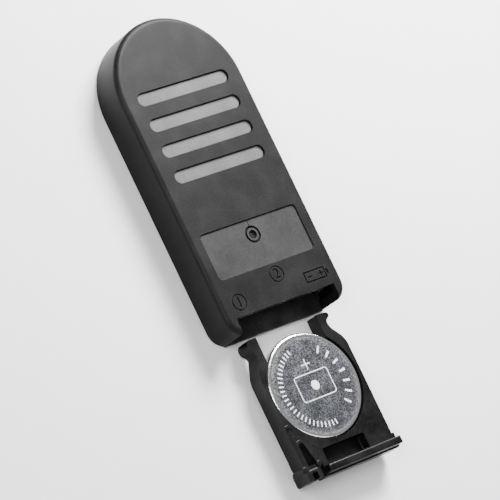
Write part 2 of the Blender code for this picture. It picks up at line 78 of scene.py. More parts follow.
def clearSelection():
    if bpy.context.object and bpy.context.object.mode != "OBJECT":
        bpy.ops.object.mode_set(mode="OBJECT")
    bpy.ops.object.select_all(action="DESELECT")


def makeActive(piece):
    clearSelection()
    piece.select_set(True)
    bpy.context.view_layer.objects.active = piece


def openEdit(piece):
    makeActive(piece)
    bpy.ops.object.mode_set(mode="EDIT")


def closeEdit():
    bpy.ops.object.mode_set(mode="OBJECT")


def selectAll():
    bpy.ops.mesh.select_all(action="SELECT")


def pull(x, y, z):
    # draws the picked faces out by a step in millimetres
    bpy.ops.mesh.extrude_region_move(TRANSFORM_OT_translate={"value": (x * mm, y * mm, z * mm)})


def bevelPicked(width, segments, clamp=False):
    bpy.ops.mesh.bevel(offset=width * mm, offset_type="OFFSET", segments=segments, profile=0.5,
                       affect="EDGES", clamp_overlap=clamp)


def settle(name):
    # names the new piece and puts its place into its mesh
    piece = bpy.context.object
    piece.name = name
    piece.data.name = name
    bpy.ops.object.transform_apply(location=True, rotation=True, scale=True)
    return piece


def middleOf(item):
    # the middle of a face, an edge or a point, in millimetres
    if isinstance(item, bmesh.types.BMVert):
        return item.co / mm
    if isinstance(item, bmesh.types.BMEdge):
        return (item.verts[0].co + item.verts[1].co) / 2 / mm
    return item.calc_center_median() / mm


def pick(piece, kind, test):
    # in edit mode: selects only the faces, edges or verts that pass the test
    bpy.ops.mesh.select_mode(type=kind[:-1].upper())
    bpy.ops.mesh.select_all(action="DESELECT")
    shape = bmesh.from_edit_mesh(piece.data)
    shape.normal_update()
    found = 0
    for item in getattr(shape, kind):
        if test(item):
            item.select_set(True)
            found += 1
    bmesh.update_edit_mesh(piece.data)
    return found


def addDrum(name, place, radius, low, high, sides=64):
    clearSelection()
    bpy.ops.mesh.primitive_cylinder_add(
        vertices=sides, radius=radius * mm, depth=(high - low) * mm,
        location=(place[0] * mm, place[1] * mm, (low + high) / 2 * mm))
    return settle(name)


def addBlock(name, low, high):
    clearSelection()
    middle = [(a + b) / 2 * mm for a, b in zip(low, high)]
    size = [(b - a) * mm for a, b in zip(low, high)]
    bpy.ops.mesh.primitive_cube_add(size=1, location=middle, scale=size)
    return settle(name)


def drawChain(name, points):
    # a line of points, each pulled out of the one before
    clearSelection()
    bpy.ops.mesh.primitive_plane_add(size=mm, location=[value * mm for value in points[0]])
    piece = settle(name)
    openEdit(piece)
    bpy.ops.mesh.select_mode(type="VERT")
    selectAll()
    bpy.ops.mesh.merge(type="CENTER")
    for before, after in zip(points, points[1:]):
        step = [(b - a) * mm for a, b in zip(before, after)]
        bpy.ops.mesh.extrude_vertices_move(TRANSFORM_OT_translate={"value": step})
    return piece


def tracePlate(name, corners, low, high, segments=6):
    # a plate drawn corner by corner as (x, y, round), filled, pulled up and rounded at its corners
    piece = drawChain(name, [(x, y, low) for x, y, _ in corners])
    selectAll()
    bpy.ops.mesh.edge_face_add()
    pull(0, 0, high - low)
    selectAll()
    bpy.ops.mesh.normals_make_consistent(inside=False)
    for x, y, rounding in corners:
        if rounding:
            corner = Vector((x, y, 0))
            pick(piece, "edges", lambda edge: all(
                (vert.co.xy / mm - corner.xy).length < 0.001 for vert in edge.verts))
            bevelPicked(rounding, segments)
    closeEdit()
    return piece


def turnPiece(name, profile, place, steps=96):
    # a profile of (radius, height) points spun round an upright axis
    piece = drawChain(name, [(place[0] + r, place[1], z) for r, z in profile])
    selectAll()
    bpy.ops.mesh.spin(steps=steps, angle=math.tau, center=(place[0] * mm, place[1] * mm, 0), axis=(0, 0, 1))
    selectAll()
    bpy.ops.mesh.remove_doubles(threshold=0.002 * mm)
    bpy.ops.mesh.normals_make_consistent(inside=False)
    closeEdit()
    return piece


def roundEdges(piece, width, segments, test):
    # rounds the edges sharper than 30 degrees that pass the test
    openEdit(piece)
    limit = math.radians(30)
    if pick(piece, "edges", lambda edge: len(edge.link_faces) == 2
            and edge.calc_face_angle(0) > limit and test(middleOf(edge))):
        bevelPicked(width, segments, clamp=True)
    closeEdit()


def roundTop(piece, width, segments, top):
    roundEdges(piece, width, segments, lambda spot: spot.z > top - 0.01)


def applyChange(piece, kind, **settings):
    change = piece.modifiers.new(kind.lower(), kind)
    for key, value in settings.items():
        setattr(change, key, value)
    makeActive(piece)
    bpy.ops.object.modifier_apply(modifier=change.name)


def cutAway(piece, *tools):
    for tool in tools:
        applyChange(piece, "BOOLEAN", operation="DIFFERENCE", solver="MANIFOLD", object=tool)
        bpy.data.objects.remove(tool)


def fuseOn(piece, *others):
    for other in others:
        applyChange(piece, "BOOLEAN", operation="UNION", solver="MANIFOLD", object=other)
        bpy.data.objects.remove(other)


def hollowUnder(tool, *steps):
    # works a cutter's underside in steps of inset and lift
    openEdit(tool)
    pick(tool, "faces", lambda face: face.normal.z < -0.9)
    for inset, lift in steps:
        bpy.ops.mesh.inset(thickness=inset * mm, depth=0)
        pull(0, 0, lift)
    closeEdit()


def flareTop(tool, by):
    # opens a cutter's top so that the hole it leaves gets a small bevel
    corners = [Vector(corner) / mm for corner in tool.bound_box]
    low, high = corners[0], corners[6]
    size = high - low
    openEdit(tool)
    pick(tool, "faces", lambda face: face.normal.z > 0.99 and middleOf(face).z > high.z - 0.01)
    pull(0, 0, by)
    bpy.ops.transform.resize(value=(1 + 2 * by / size.x, 1 + 2 * by / size.y, 1),
                             center_override=(low + high) / 2 * mm)
    pull(0, 0, 1.0)
    closeEdit()


def copyAt(piece, name, step):
    # a copy with its own mesh, moved by a step in millimetres
    makeActive(piece)
    bpy.ops.object.duplicate()
    bpy.ops.transform.translate(value=[value * mm for value in step])
    return settle(name)


def cleanUp(piece):
    # closes hairline gaps and slivers that cutting leaves
    openEdit(piece)
    selectAll()
    bpy.ops.mesh.remove_doubles(threshold=0.002 * mm)
    bpy.ops.mesh.dissolve_degenerate(threshold=0.002 * mm)
    closeEdit()


def shade(piece):
    # smooth curves, flat faces kept flat
    makeActive(piece)
    bpy.ops.object.shade_smooth_by_angle(angle=math.radians(35))
    applyChange(piece, "WEIGHTED_NORMAL", keep_sharp=True, weight=80)


def dress(piece, material):
    piece.data.materials.clear()
    piece.data.materials.append(material)


# Node work

def addNode(tree, kind, inputs=None, **settings):
    node = tree.nodes.new(kind)
    for key, value in settings.items():
        setattr(node, key, value)
    for key, value in (inputs or {}).items():
        if isinstance(value, bpy.types.NodeSocket):
            tree.links.new(value, node.inputs[key])
        else:
            node.inputs[key].default_value = value
    return node


def reckon(tree, operation, *values, clamp=False):
    # works through the values from left to right
    result = values[0]
    for value in values[1:] or (0.0,):
        node = addNode(tree, "ShaderNodeMath", {0: result, 1: value}, operation=operation, use_clamp=clamp)
        result = node.outputs[0]
    return result


def times(tree, *values, clamp=False):
    return reckon(tree, "MULTIPLY", *values, clamp=clamp)


def plus(tree, *values, clamp=False):
    return reckon(tree, "ADD", *values, clamp=clamp)


def minus(tree, *values, clamp=False):
    return reckon(tree, "SUBTRACT", *values, clamp=clamp)


def larger(tree, *values):
    return reckon(tree, "MAXIMUM", *values)


def below(tree, value, limit):
    return reckon(tree, "LESS_THAN", value, limit)


def above(tree, value, limit):
    return reckon(tree, "GREATER_THAN", value, limit)


def between(tree, value, low, high):
    return times(tree, above(tree, value, low), below(tree, value, high))


def sizeOf(tree, value):
    return reckon(tree, "ABSOLUTE", value)


def spread(tree, value, low, high, toLow=0.0, toHigh=1.0):
    node = addNode(tree, "ShaderNodeMapRange", {"Value": value, "From Min": low, "From Max": high,
                                               "To Min": toLow, "To Max": toHigh})
    return node.outputs["Result"]


def blendColours(tree, share, first, second):
    node = addNode(tree, "ShaderNodeMix", data_type="RGBA")
    for index, value in ((0, share), (6, first), (7, second)):
        if isinstance(value, bpy.types.NodeSocket):
            tree.links.new(value, node.inputs[index])
        else:
            node.inputs[index].default_value = value if index == 0 else (*value, 1.0)
    return node.outputs[2]


def blendValues(tree, share, first, second):
    return addNode(tree, "ShaderNodeMix", {"Factor": share, 2: first, 3: second}).outputs[0]


def noise(tree, place, scale, detail=2.0, roughness=0.5, distortion=0.0):
    node = addNode(tree, "ShaderNodeTexNoise", {"Vector": place, "Scale": scale, "Detail": detail,
                                               "Roughness": roughness, "Distortion": distortion})
    return node.outputs["Fac"]


def axesOf(tree, vector):
    return addNode(tree, "ShaderNodeSeparateXYZ", {0: vector}).outputs


def facingOf(tree):
    return addNode(tree, "ShaderNodeNewGeometry").outputs["Normal"]


def newGroup(name, amounts, outputs):
    # a node group with a Vector input, named amounts and values as outputs
    group = bpy.data.node_groups.new(name, "ShaderNodeTree")
    group.interface.new_socket(name="Vector", in_out="INPUT", socket_type="NodeSocketVector")
    for title, value in amounts.items():
        socket = group.interface.new_socket(name=title, in_out="INPUT", socket_type="NodeSocketFloat")
        socket.default_value = value
    for title in outputs:
        group.interface.new_socket(name=title, in_out="OUTPUT", socket_type="NodeSocketFloat")
    return group, group.nodes.new("NodeGroupInput").outputs


def giveOut(group, **values):
    result = group.nodes.new("NodeGroupOutput")
    for title, value in values.items():
        group.links.new(value, result.inputs[title])
    return group


def useGroup(tree, group, **inputs):
    return addNode(tree, "ShaderNodeGroup", inputs, node_tree=group).outputs


def makeMouldGrain():
    # spark-eroded mould skin: fine pimples on soft mottling
    group, given = newGroup("mouldGrain", {"Fine": 9000.0, "Coarse": 1800.0}, ["Height", "Tone"])
    fine = noise(group, given["Vector"], given["Fine"], 3.0, 0.6)
    coarse = noise(group, given["Vector"], given["Coarse"], 2.0, 0.55)
    broad = noise(group, given["Vector"], 160.0, 1.0, 0.5)
    height = plus(group, times(group, fine, 0.6), times(group, coarse, 0.4))
    tone = plus(group, times(group, coarse, 0.55), times(group, broad, 0.45))
    return giveOut(group, Height=height, Tone=spread(group, tone, 0.35, 0.65))


def makeHandledEdges():
    # where fingers and pockets polish the corners
    group, given = newGroup("handledEdges", {"Width": 0.0002, "Amount": 0.5}, ["Mask"])
    softened = addNode(group, "ShaderNodeBevel", {"Radius": given["Width"]}, samples=6).outputs["Normal"]
    match = addNode(group, "ShaderNodeVectorMath", {0: softened, 1: facingOf(group)}, operation="DOT_PRODUCT")
    edge = spread(group, match.outputs["Value"], 0.995, 0.86)
    broken = spread(group, noise(group, given["Vector"], 900.0, 3.0, 0.65), 0.38, 0.62, 0.25, 1.0)
    return giveOut(group, Mask=times(group, edge, broken, given["Amount"], clamp=True))


def makeSettledDust():
    # a little pale dust on what faces up
    group, given = newGroup("settledDust", {"Amount": 0.1}, ["Mask"])
    upward = axesOf(group, facingOf(group))["Z"]
    specks = spread(group, noise(group, given["Vector"], 3200.0, 4.0, 0.7), 0.56, 0.72)
    film = spread(group, noise(group, given["Vector"], 240.0, 2.0, 0.5), 0.4, 0.7, 0.0, 0.5)
    cover = times(group, plus(group, specks, film), spread(group, upward, 0.3, 1.0))
    return giveOut(group, Mask=times(group, cover, given["Amount"], clamp=True))


def makeFineScratches():
    # three families of hairlines that cross at odd angles
    group, given = newGroup("fineScratches", {"Scale": 900.0}, ["Mask"])
    families = []
    for turn, stretch in ((0.35, 14.0), (1.4, 18.0), (2.45, 11.0)):
        turned = addNode(group, "ShaderNodeMapping", {"Vector": given["Vector"], "Rotation": (0, 0, turn),
                                                     "Scale": (1.0, stretch, 1.0)}).outputs[0]
        line = noise(group, turned, given["Scale"], 2.0, 0.5)
        families.append(spread(group, sizeOf(group, minus(group, line, 0.5)), 0.012, 0.0))
    return giveOut(group, Mask=larger(group, *families))


def makeFlowMarks():
    # faint swirls that the melt leaves on a smooth face
    group, given = newGroup("flowMarks", {"Scale": 260.0}, ["Tone"])
    swirl = noise(group, given["Vector"], given["Scale"], 3.0, 0.6, 2.2)
    stripes = spread(group, reckon(group, "SINE", times(group, swirl, 46.0)), -1.0, 1.0)
    cloud = spread(group, noise(group, given["Vector"], given["Scale"], 2.0, 0.5), 0.3, 0.7)
    return giveOut(group, Tone=plus(group, times(group, stripes, 0.35), times(group, cloud, 0.65)))


mouldGrain = makeMouldGrain()
handledEdges = makeHandledEdges()
settledDust = makeSettledDust()
fineScratches = makeFineScratches()
flowMarks = makeFlowMarks()
print("shared node groups ready")


# Finishes. Colours are linear, grain is in waves per metre, depth is the bump in millimetres. Each line gives
# colour, shade and worn edge, roughness from and to, fine and coarse grain, then depth, wear and dust.

finishes = {
    "frontPlastic": ((0.008, 0.008, 0.0085), (0.013, 0.013, 0.0135), (0.05, 0.05, 0.05),
                     (0.36, 0.48), (8000, 1600), 0.01, 0.5, 0.1),
    "trayPlastic": ((0.002, 0.002, 0.0022), (0.005, 0.005, 0.0052), (0.022, 0.022, 0.023),
                    (0.28, 0.38), (7000, 1100), 0.006, 0.7, 0.04),
    "buttonPlastic": ((0.1, 0.1, 0.104), (0.125, 0.125, 0.13), (0.19, 0.19, 0.19),
                      (0.4, 0.52), (8000, 1500), 0.008, 0.4, 0.05),
    "switchPlastic": ((0.03, 0.03, 0.031), (0.045, 0.045, 0.046), (0.08, 0.08, 0.08),
                      (0.42, 0.55), (9000, 2000), 0.005, 0.3, 0.0),
    "plungerPlastic": ((0.52, 0.52, 0.5), (0.62, 0.62, 0.6), (0.7, 0.7, 0.68),
                       (0.4, 0.52), (9000, 1800), 0.004, 0.2, 0.0),
    "chipEpoxy": ((0.016, 0.016, 0.017), (0.028, 0.028, 0.03), (0.06, 0.06, 0.06),
                  (0.48, 0.62), (14000, 5200), 0.008, 0.2, 0.0),
    "resonatorResin": ((0.48, 0.22, 0.05), (0.6, 0.32, 0.08), (0.66, 0.42, 0.16),
                       (0.18, 0.3), (2400, 900), 0.012, 0.2, 0.0),
    "tantalumCase": ((0.7, 0.44, 0.07), (0.8, 0.54, 0.12), (0.86, 0.66, 0.26),
                     (0.38, 0.5), (9000, 3000), 0.005, 0.3, 0.0),
    "resistorGlaze": ((0.02, 0.02, 0.024), (0.034, 0.034, 0.04), (0.2, 0.2, 0.21),
                      (0.2, 0.34), (6000, 2600), 0.004, 0.5, 0.0),
    "capacitorCeramic": ((0.4, 0.28, 0.16), (0.5, 0.38, 0.24), (0.6, 0.5, 0.36),
                         (0.4, 0.55), (12000, 4200), 0.005, 0.3, 0.0),
    "gasketNylon": ((0.68, 0.67, 0.6), (0.78, 0.78, 0.72), (0.84, 0.84, 0.8),
                    (0.42, 0.58), (5000, 1400), 0.006, 0.2, 0.0),
    "separatorFelt": ((0.76, 0.76, 0.72), (0.9, 0.9, 0.87), (0.9, 0.9, 0.88),
                      (0.86, 0.96), (16000, 3800), 0.03, 0.0, 0.0),
    "cathodeMix": ((0.012, 0.012, 0.013), (0.03, 0.03, 0.032), (0.05, 0.05, 0.05),
                   (0.78, 0.92), (15000, 5200), 0.02, 0.0, 0.0),
    "lithiumMetal": ((0.5, 0.51, 0.53), (0.68, 0.69, 0.71), (0.8, 0.8, 0.82),
                     (0.36, 0.6), (3000, 700), 0.01, 0.2, 0.0),
    "tinnedWire": ((0.62, 0.62, 0.6), (0.74, 0.74, 0.72), (0.85, 0.85, 0.82),
                   (0.22, 0.42), (7000, 2400), 0.004, 0.3, 0.0),
    "springSteel": ((0.64, 0.61, 0.55), (0.76, 0.73, 0.67), (0.88, 0.86, 0.82),
                    (0.18, 0.34), (6000, 900), 0.003, 0.5, 0.0),
    "capSteel": ((0.5, 0.5, 0.53), (0.64, 0.64, 0.66), (0.8, 0.8, 0.82),
                 (0.2, 0.38), (5000, 800), 0.004, 0.5, 0.0),
}
scratchDepths = {"lithiumMetal": 0.5, "tinnedWire": 0.4, "springSteel": 0.8, "capSteel": 0.9}  # the metals
glosses = {"trayPlastic": 0.14}
plainGloss = 0.3
wornWidth = 0.15
dustColour = (0.32, 0.31, 0.29)


def startMaterial(name):
    material = bpy.data.materials.new(name)
    material.use_nodes = True
    tree = material.node_tree
    place = addNode(tree, "ShaderNodeTexCoord").outputs["Object"]
    return material, tree, tree.nodes["Principled BSDF"], place


def finishShader(tree, shader, colour, roughness, height, depth, strength=0.6):
    tree.links.new(colour, shader.inputs["Base Color"])
    tree.links.new(roughness, shader.inputs["Roughness"])
    bump = addNode(tree, "ShaderNodeBump", {"Height": height, "Distance": depth * mm, "Strength": strength})
    tree.links.new(bump.outputs["Normal"], shader.inputs["Normal"])


def makeFinish(name):
    plain, shaded, worn, rough, (fine, coarse), depth, wear, dusty = finishes[name]
    material, tree, shader, place = startMaterial(name)
    grain = useGroup(tree, mouldGrain, Vector=place, Fine=float(fine), Coarse=float(coarse))
    edges = useGroup(tree, handledEdges, Vector=place, Width=wornWidth * mm, Amount=wear)
    dust = useGroup(tree, settledDust, Vector=place, Amount=dusty)
    colour = blendColours(tree, grain["Tone"], plain, shaded)
    colour = blendColours(tree, edges["Mask"], colour, worn)
    colour = blendColours(tree, dust["Mask"], colour, dustColour)
    roughness = spread(tree, grain["Tone"], 0.0, 1.0, *rough)
    roughness = minus(tree, roughness, times(tree, edges["Mask"], 0.12))
    roughness = plus(tree, roughness, times(tree, dust["Mask"], 0.4), clamp=True)
    height = grain["Height"]
    if name in scratchDepths:
        hair = useGroup(tree, fineScratches, Vector=place, Scale=700.0)
        roughness = plus(tree, roughness, times(tree, hair["Mask"], 0.2), clamp=True)
        height = minus(tree, height, times(tree, hair["Mask"], scratchDepths[name]))
        shader.inputs["Metallic"].default_value = 1.0
    finishShader(tree, shader, colour, roughness, height, depth)
    shader.inputs["Specular IOR Level"].default_value = glosses.get(name, plainGloss)
    return material


label = {"length": 22.7, "height": 8.9, "depth": 0.3, "corner": 0.8, "middle": -15.15, "floorRound": 0.14}
casingLook = {
    "colour": (0.0045, 0.0045, 0.0047), "shade": (0.0085, 0.0085, 0.0088), "worn": (0.045, 0.045, 0.046),
    # painted sheen: the groove and label floor colours are far lighter than the skin and stand in for the
    # light these smoother floors reflect
    "grooveSheenColour": (0.085, 0.085, 0.086), "grooveSheenTone": (0.12, 0.12, 0.121),
    "labelSheenColour": (0.024, 0.024, 0.025), "labelSheenTone": (0.038, 0.038, 0.039),
    # painted shade colour for the sunk walls, the marks below the label and the gate dimple
    "paintedShadeColour": (0.004, 0.004, 0.004),
    "rough": (0.41, 0.46), "grooveRough": 0.38, "labelRough": 0.36, "gloss": 0.09,
    "grain": (7500.0, 3200.0), "depth": 0.034, "wear": 0.45, "wornWidth": 0.2, "dust": 0.03, "flow": 200.0,
    "sunkHalf": 11.9, "sunkFrom": -26.7, "sunkShallow": 0.1, "sunkDeep": 0.6, "groovesFrom": -5,
}


def makeCasingPlastic():
    # grained skin outside; the sunk floors are smoother and show how the melt ran, and their lighter colour
    # is painted sheen; the sunk walls, the marks below the label and the gate dimple get painted shade
    look = casingLook
    material, tree, shader, place = startMaterial("casingPlastic")
    upward = axesOf(tree, tree.nodes["Texture Coordinate"].outputs["Normal"])["Z"]
    where = axesOf(tree, place)
    engraved = times(tree, between(tree, where["Z"], (backFace - look["sunkDeep"]) * mm,
                                   (backFace - look["sunkShallow"]) * mm),
                     below(tree, sizeOf(tree, where["X"]), look["sunkHalf"] * mm),
                     above(tree, where["Y"], look["sunkFrom"] * mm))
    floors = times(tree, engraved, above(tree, upward, 0.97))
    # painted shade: the sunk walls, every sunk mark below the label and the gate dimple are coloured near
    # black and made rougher, standing in for the shadow inside them
    atMarks = below(tree, where["Y"], (label["middle"] - label["height"] / 2 - 0.1) * mm)
    atGrooves = above(tree, where["Y"], look["groovesFrom"] * mm)
    inGate = times(tree, minus(tree, 1.0, atGrooves),
                   below(tree, where["Z"], (backFace - label["depth"] - 0.05) * mm))
    paintedShade = times(tree, engraved, larger(tree, below(tree, upward, 0.7), atMarks, inGate))
    fine, coarse = look["grain"]
    grain = useGroup(tree, mouldGrain, Vector=place, Fine=fine, Coarse=coarse)
    edges = useGroup(tree, handledEdges, Vector=place, Width=look["wornWidth"] * mm, Amount=look["wear"])
    dust = useGroup(tree, settledDust, Vector=place, Amount=look["dust"])
    flow = useGroup(tree, flowMarks, Vector=place, Scale=look["flow"])
    skin = blendColours(tree, grain["Tone"], look["colour"], look["shade"])
    skin = blendColours(tree, edges["Mask"], skin, look["worn"])
    # painted sheen on the groove and label floors, with the real flow marks running through it
    grooveSheen = blendColours(tree, flow["Tone"], look["grooveSheenColour"], look["grooveSheenTone"])
    panel = blendColours(tree, flow["Tone"], look["labelSheenColour"], look["labelSheenTone"])
    colour = blendColours(tree, floors, skin, blendColours(tree, atGrooves, panel, grooveSheen))
    # paints the shade into the sunk walls, marks and gate dimple
    colour = blendColours(tree, paintedShade, colour, look["paintedShadeColour"])
    colour = blendColours(tree, dust["Mask"], colour, dustColour)
    roughness = spread(tree, grain["Tone"], 0.0, 1.0, *look["rough"])
    roughness = minus(tree, roughness, times(tree, edges["Mask"], 0.15))
    smooth = spread(tree, atGrooves, 0.0, 1.0, look["labelRough"], look["grooveRough"])
    smooth = plus(tree, smooth, times(tree, flow["Tone"], 0.05))
    roughness = blendValues(tree, floors, roughness, smooth)
    roughness = plus(tree, roughness, times(tree, paintedShade, 0.5), clamp=True)
    height = times(tree, grain["Height"], spread(tree, floors, 0.0, 1.0, 1.0, 0.2))
    finishShader(tree, shader, colour, roughness, height, look["depth"])
    shader.inputs["Specular IOR Level"].default_value = look["gloss"]
    return material


cellLook = {
    "steel": (0.095, 0.102, 0.125), "bright": (0.52, 0.53, 0.57), "rim": (0.86, 0.87, 0.89),
    "band": (0.74, 0.745, 0.76), "print": (0.80, 0.81, 0.83), "rimFrom": 9.25, "bandFrom": 8.7,
    # printed marks in millimetres: panel is half width, half height, corner and half line
    "plusAt": 4.1, "plusReach": 1.0, "plusLine": 0.1, "panel": (3.9, 2.4, 0.5, 0.09), "dot": 0.9,
    # how many in a full ring, share of each that is printed, radii and bearings from and to
    "bigTicks": (22, 0.20, 6.25, 7.7, 0.42, 2.35), "smallTicks": (56, 0.30, 6.9, 7.9, 3.0, 6.0),
}


def makeCanSteel():
    # drawn steel: a polished rim, a mottled and scratched face, and plain printed marks
    look = cellLook
    material, tree, shader, place = startMaterial("canSteel")
    centred = addNode(tree, "ShaderNodeMapping", {"Vector": place, "Location": (-cellX, -cellY, 0),
                                                  "Scale": (1 / mm, 1 / mm, 1 / mm)}).outputs[0]
    where = axesOf(tree, centred)
    across, along = where["X"], where["Y"]
    radius = reckon(tree, "SQRT", plus(tree, times(tree, across, across), times(tree, along, along)))
    bearing = reckon(tree, "ARCTAN2", times(tree, across, -1.0), times(tree, along, -1.0))
    bearing = plus(tree, bearing, math.pi)
    speckle = spread(tree, noise(tree, place, 5200.0, 4.0, 0.75), 0.40, 0.62)
    patches = spread(tree, noise(tree, place, 420.0, 3.0, 0.6), 0.35, 0.65)
    mottle = times(tree, speckle, spread(tree, patches, 0.0, 1.0, 0.5, 0.9))
    hair = useGroup(tree, fineScratches, Vector=place, Scale=420.0)
    colour = blendColours(tree, mottle, look["steel"], look["bright"])
    colour = blendColours(tree, times(tree, hair["Mask"], 0.55), colour, look["bright"])
    band = times(tree, spread(tree, radius, look["bandFrom"] - 0.5, look["bandFrom"] + 0.3), 0.75)
    band = times(tree, band, spread(tree, speckle, 0, 1, 0.45, 1.0))
    colour = blendColours(tree, band, colour, look["band"])
    rim = spread(tree, radius, look["rimFrom"] - 0.15, look["rimFrom"] + 0.15)
    colour = blendColours(tree, rim, colour, look["rim"])
    marks = larger(tree, plusMask(tree, across, along), panelMask(tree, across, along),
                   below(tree, radius, look["dot"]),
                   *[tickMask(tree, radius, bearing, kind) for kind in ("bigTicks", "smallTicks")])
    onTop = above(tree, where["Z"], cellHigh[2] - 0.05)
    worn = spread(tree, noise(tree, place, 2600.0, 3.0, 0.7), 0.30, 0.42, 0.35, 1.0)
    marks = times(tree, marks, onTop, worn)
    colour = blendColours(tree, marks, colour, look["print"])
    roughness = blendValues(tree, rim, spread(tree, mottle, 0.0, 1.0, 0.20, 0.40), 0.16)
    roughness = plus(tree, roughness, times(tree, marks, 0.3), clamp=True)
    tree.links.new(minus(tree, 1.0, marks, clamp=True), shader.inputs["Metallic"])
    height = minus(tree, times(tree, speckle, 0.5), hair["Mask"])
    finishShader(tree, shader, colour, roughness, height, 0.006, 0.5)
    return material


def plusMask(tree, across, along):
    shifted = minus(tree, along, cellLook["plusAt"])
    bars = [times(tree, below(tree, sizeOf(tree, first), cellLook["plusLine"]),
                  below(tree, sizeOf(tree, second), cellLook["plusReach"]))
            for first, second in ((across, shifted), (shifted, across))]
    return larger(tree, *bars)


def panelMask(tree, across, along):
    # a plain outline with round corners
    halfAcross, halfAlong, rounding, line = cellLook["panel"]
    beyond = [minus(tree, sizeOf(tree, value), half - rounding)
              for value, half in ((across, halfAcross), (along, halfAlong))]
    squares = [reckon(tree, "POWER", larger(tree, value, 0.0), 2.0) for value in beyond]
    outside = reckon(tree, "SQRT", plus(tree, *squares))
    inside = reckon(tree, "MINIMUM", larger(tree, *beyond), 0.0)
    gap = minus(tree, plus(tree, outside, inside), rounding)
    return below(tree, sizeOf(tree, gap), line)


def tickMask(tree, radius, bearing, kind):
    count, share, inner, outer, start, end = cellLook[kind]
    turn = reckon(tree, "FRACT", times(tree, bearing, count / math.tau))
    return times(tree, below(tree, turn, share), between(tree, radius, inner, outer),
                 between(tree, bearing, start, end))


windowLook = {"colour": (0.005, 0.0008, 0.0011), "shade": (0.011, 0.0016, 0.0022),
              "worn": (0.04, 0.007, 0.008), "wear": 0.6, "gloss": 0.18}


def makeWindowPlastic():
    # infrared filter: nearly black, with a red depth
    look = windowLook
    material, tree, shader, place = startMaterial("windowPlastic")
    grain = useGroup(tree, mouldGrain, Vector=place, Fine=3000.0, Coarse=700.0)
    hair = useGroup(tree, fineScratches, Vector=place, Scale=500.0)
    edges = useGroup(tree, handledEdges, Vector=place, Width=wornWidth * mm, Amount=look["wear"])
    colour = blendColours(tree, grain["Tone"], look["colour"], look["shade"])
    colour = blendColours(tree, edges["Mask"], colour, look["worn"])
    roughness = plus(tree, spread(tree, grain["Tone"], 0, 1, 0.06, 0.14), times(tree, hair["Mask"], 0.15))
    finishShader(tree, shader, colour, roughness, minus(tree, grain["Height"], hair["Mask"]), 0.002)
    shader.inputs["Specular IOR Level"].default_value = look["gloss"]
    return material


def makeLampResin():
    # clear resin with a violet tint
    material, tree, shader, place = startMaterial("lampResin")
    flow = useGroup(tree, flowMarks, Vector=place, Scale=300.0)
    grain = useGroup(tree, mouldGrain, Vector=place, Fine=4000.0, Coarse=900.0)
    colour = blendColours(tree, flow["Tone"], (0.10, 0.08, 0.20), (0.16, 0.13, 0.28))
    finishShader(tree, shader, colour, spread(tree, grain["Tone"], 0, 1, 0.05, 0.12), grain["Height"], 0.002)
    shader.inputs["Transmission Weight"].default_value = 0.55
    return material


boardLook = {"mask": (0.014, 0.085, 0.030), "maskShade": (0.022, 0.120, 0.042),
             "copper": (0.040, 0.200, 0.075), "raw": (0.30, 0.28, 0.14), "rawShade": (0.48, 0.45, 0.26),
             "weave": 30000.0}


def makeBoardLaminate():
    # green mask over copper runs, bare laminate at the cut edge
    look = boardLook
    material, tree, shader, place = startMaterial("boardLaminate")
    grain = useGroup(tree, mouldGrain, Vector=place, Fine=9000.0, Coarse=1500.0)
    cells = addNode(tree, "ShaderNodeTexVoronoi", {"Vector": place, "Scale": 340.0, "Randomness": 0.6},
                    distance="MANHATTAN", feature="F1").outputs["Distance"]
    runs = spread(tree, reckon(tree, "FRACT", times(tree, cells, 3.0)), 0.42, 0.5)
    cutEdge = below(tree, sizeOf(tree, axesOf(tree, facingOf(tree))["Z"]), 0.5)
    weave = reckon(tree, "SINE", times(tree, axesOf(tree, place)["Z"], look["weave"]))
    mask = blendColours(tree, grain["Tone"], look["mask"], look["maskShade"])
    mask = blendColours(tree, runs, mask, look["copper"])
    raw = blendColours(tree, spread(tree, weave, -1, 1), look["raw"], look["rawShade"])
    roughness = plus(tree, spread(tree, grain["Tone"], 0, 1, 0.28, 0.40), times(tree, cutEdge, 0.35))
    finishShader(tree, shader, blendColours(tree, cutEdge, mask, raw), roughness,
                 plus(tree, grain["Height"], runs), 0.02)
    return material


def makeFloorFinish():
    material, tree, shader, place = startMaterial("studioPaper")
    grain = useGroup(tree, mouldGrain, Vector=place, Fine=900.0, Coarse=90.0)
    colour = blendColours(tree, grain["Tone"], (0.90, 0.90, 0.90), (0.92, 0.92, 0.92))
    finishShader(tree, shader, colour, spread(tree, grain["Tone"], 0, 1, 0.85, 0.95), grain["Height"], 0.01)
    shader.inputs["Specular IOR Level"].default_value = 0.1
    return material


materials = {name: makeFinish(name) for name in finishes}
materials["casingPlastic"] = makeCasingPlastic()
materials["canSteel"] = makeCanSteel()
materials["windowPlastic"] = makeWindowPlastic()
materials["lampResin"] = makeLampResin()
materials["boardLaminate"] = makeBoardLaminate()
print("finishes ready:", len(materials))


# Rear cover

casing = {
    "cornerRound": 3.4, "backEdge": 1.0, "frontEdge": 0.4, "wall": 1.4, "backWall": 1.1,
    "noseSides": 144, "mouthHalf": 11.7, "mouthDeep": 3.1, "rimCut": 0.09, "edgeBand": 0.3,
    "windowHalfAngle": 24.4, "windowGapAngle": 0.4, "windowClear": 0.1,
}


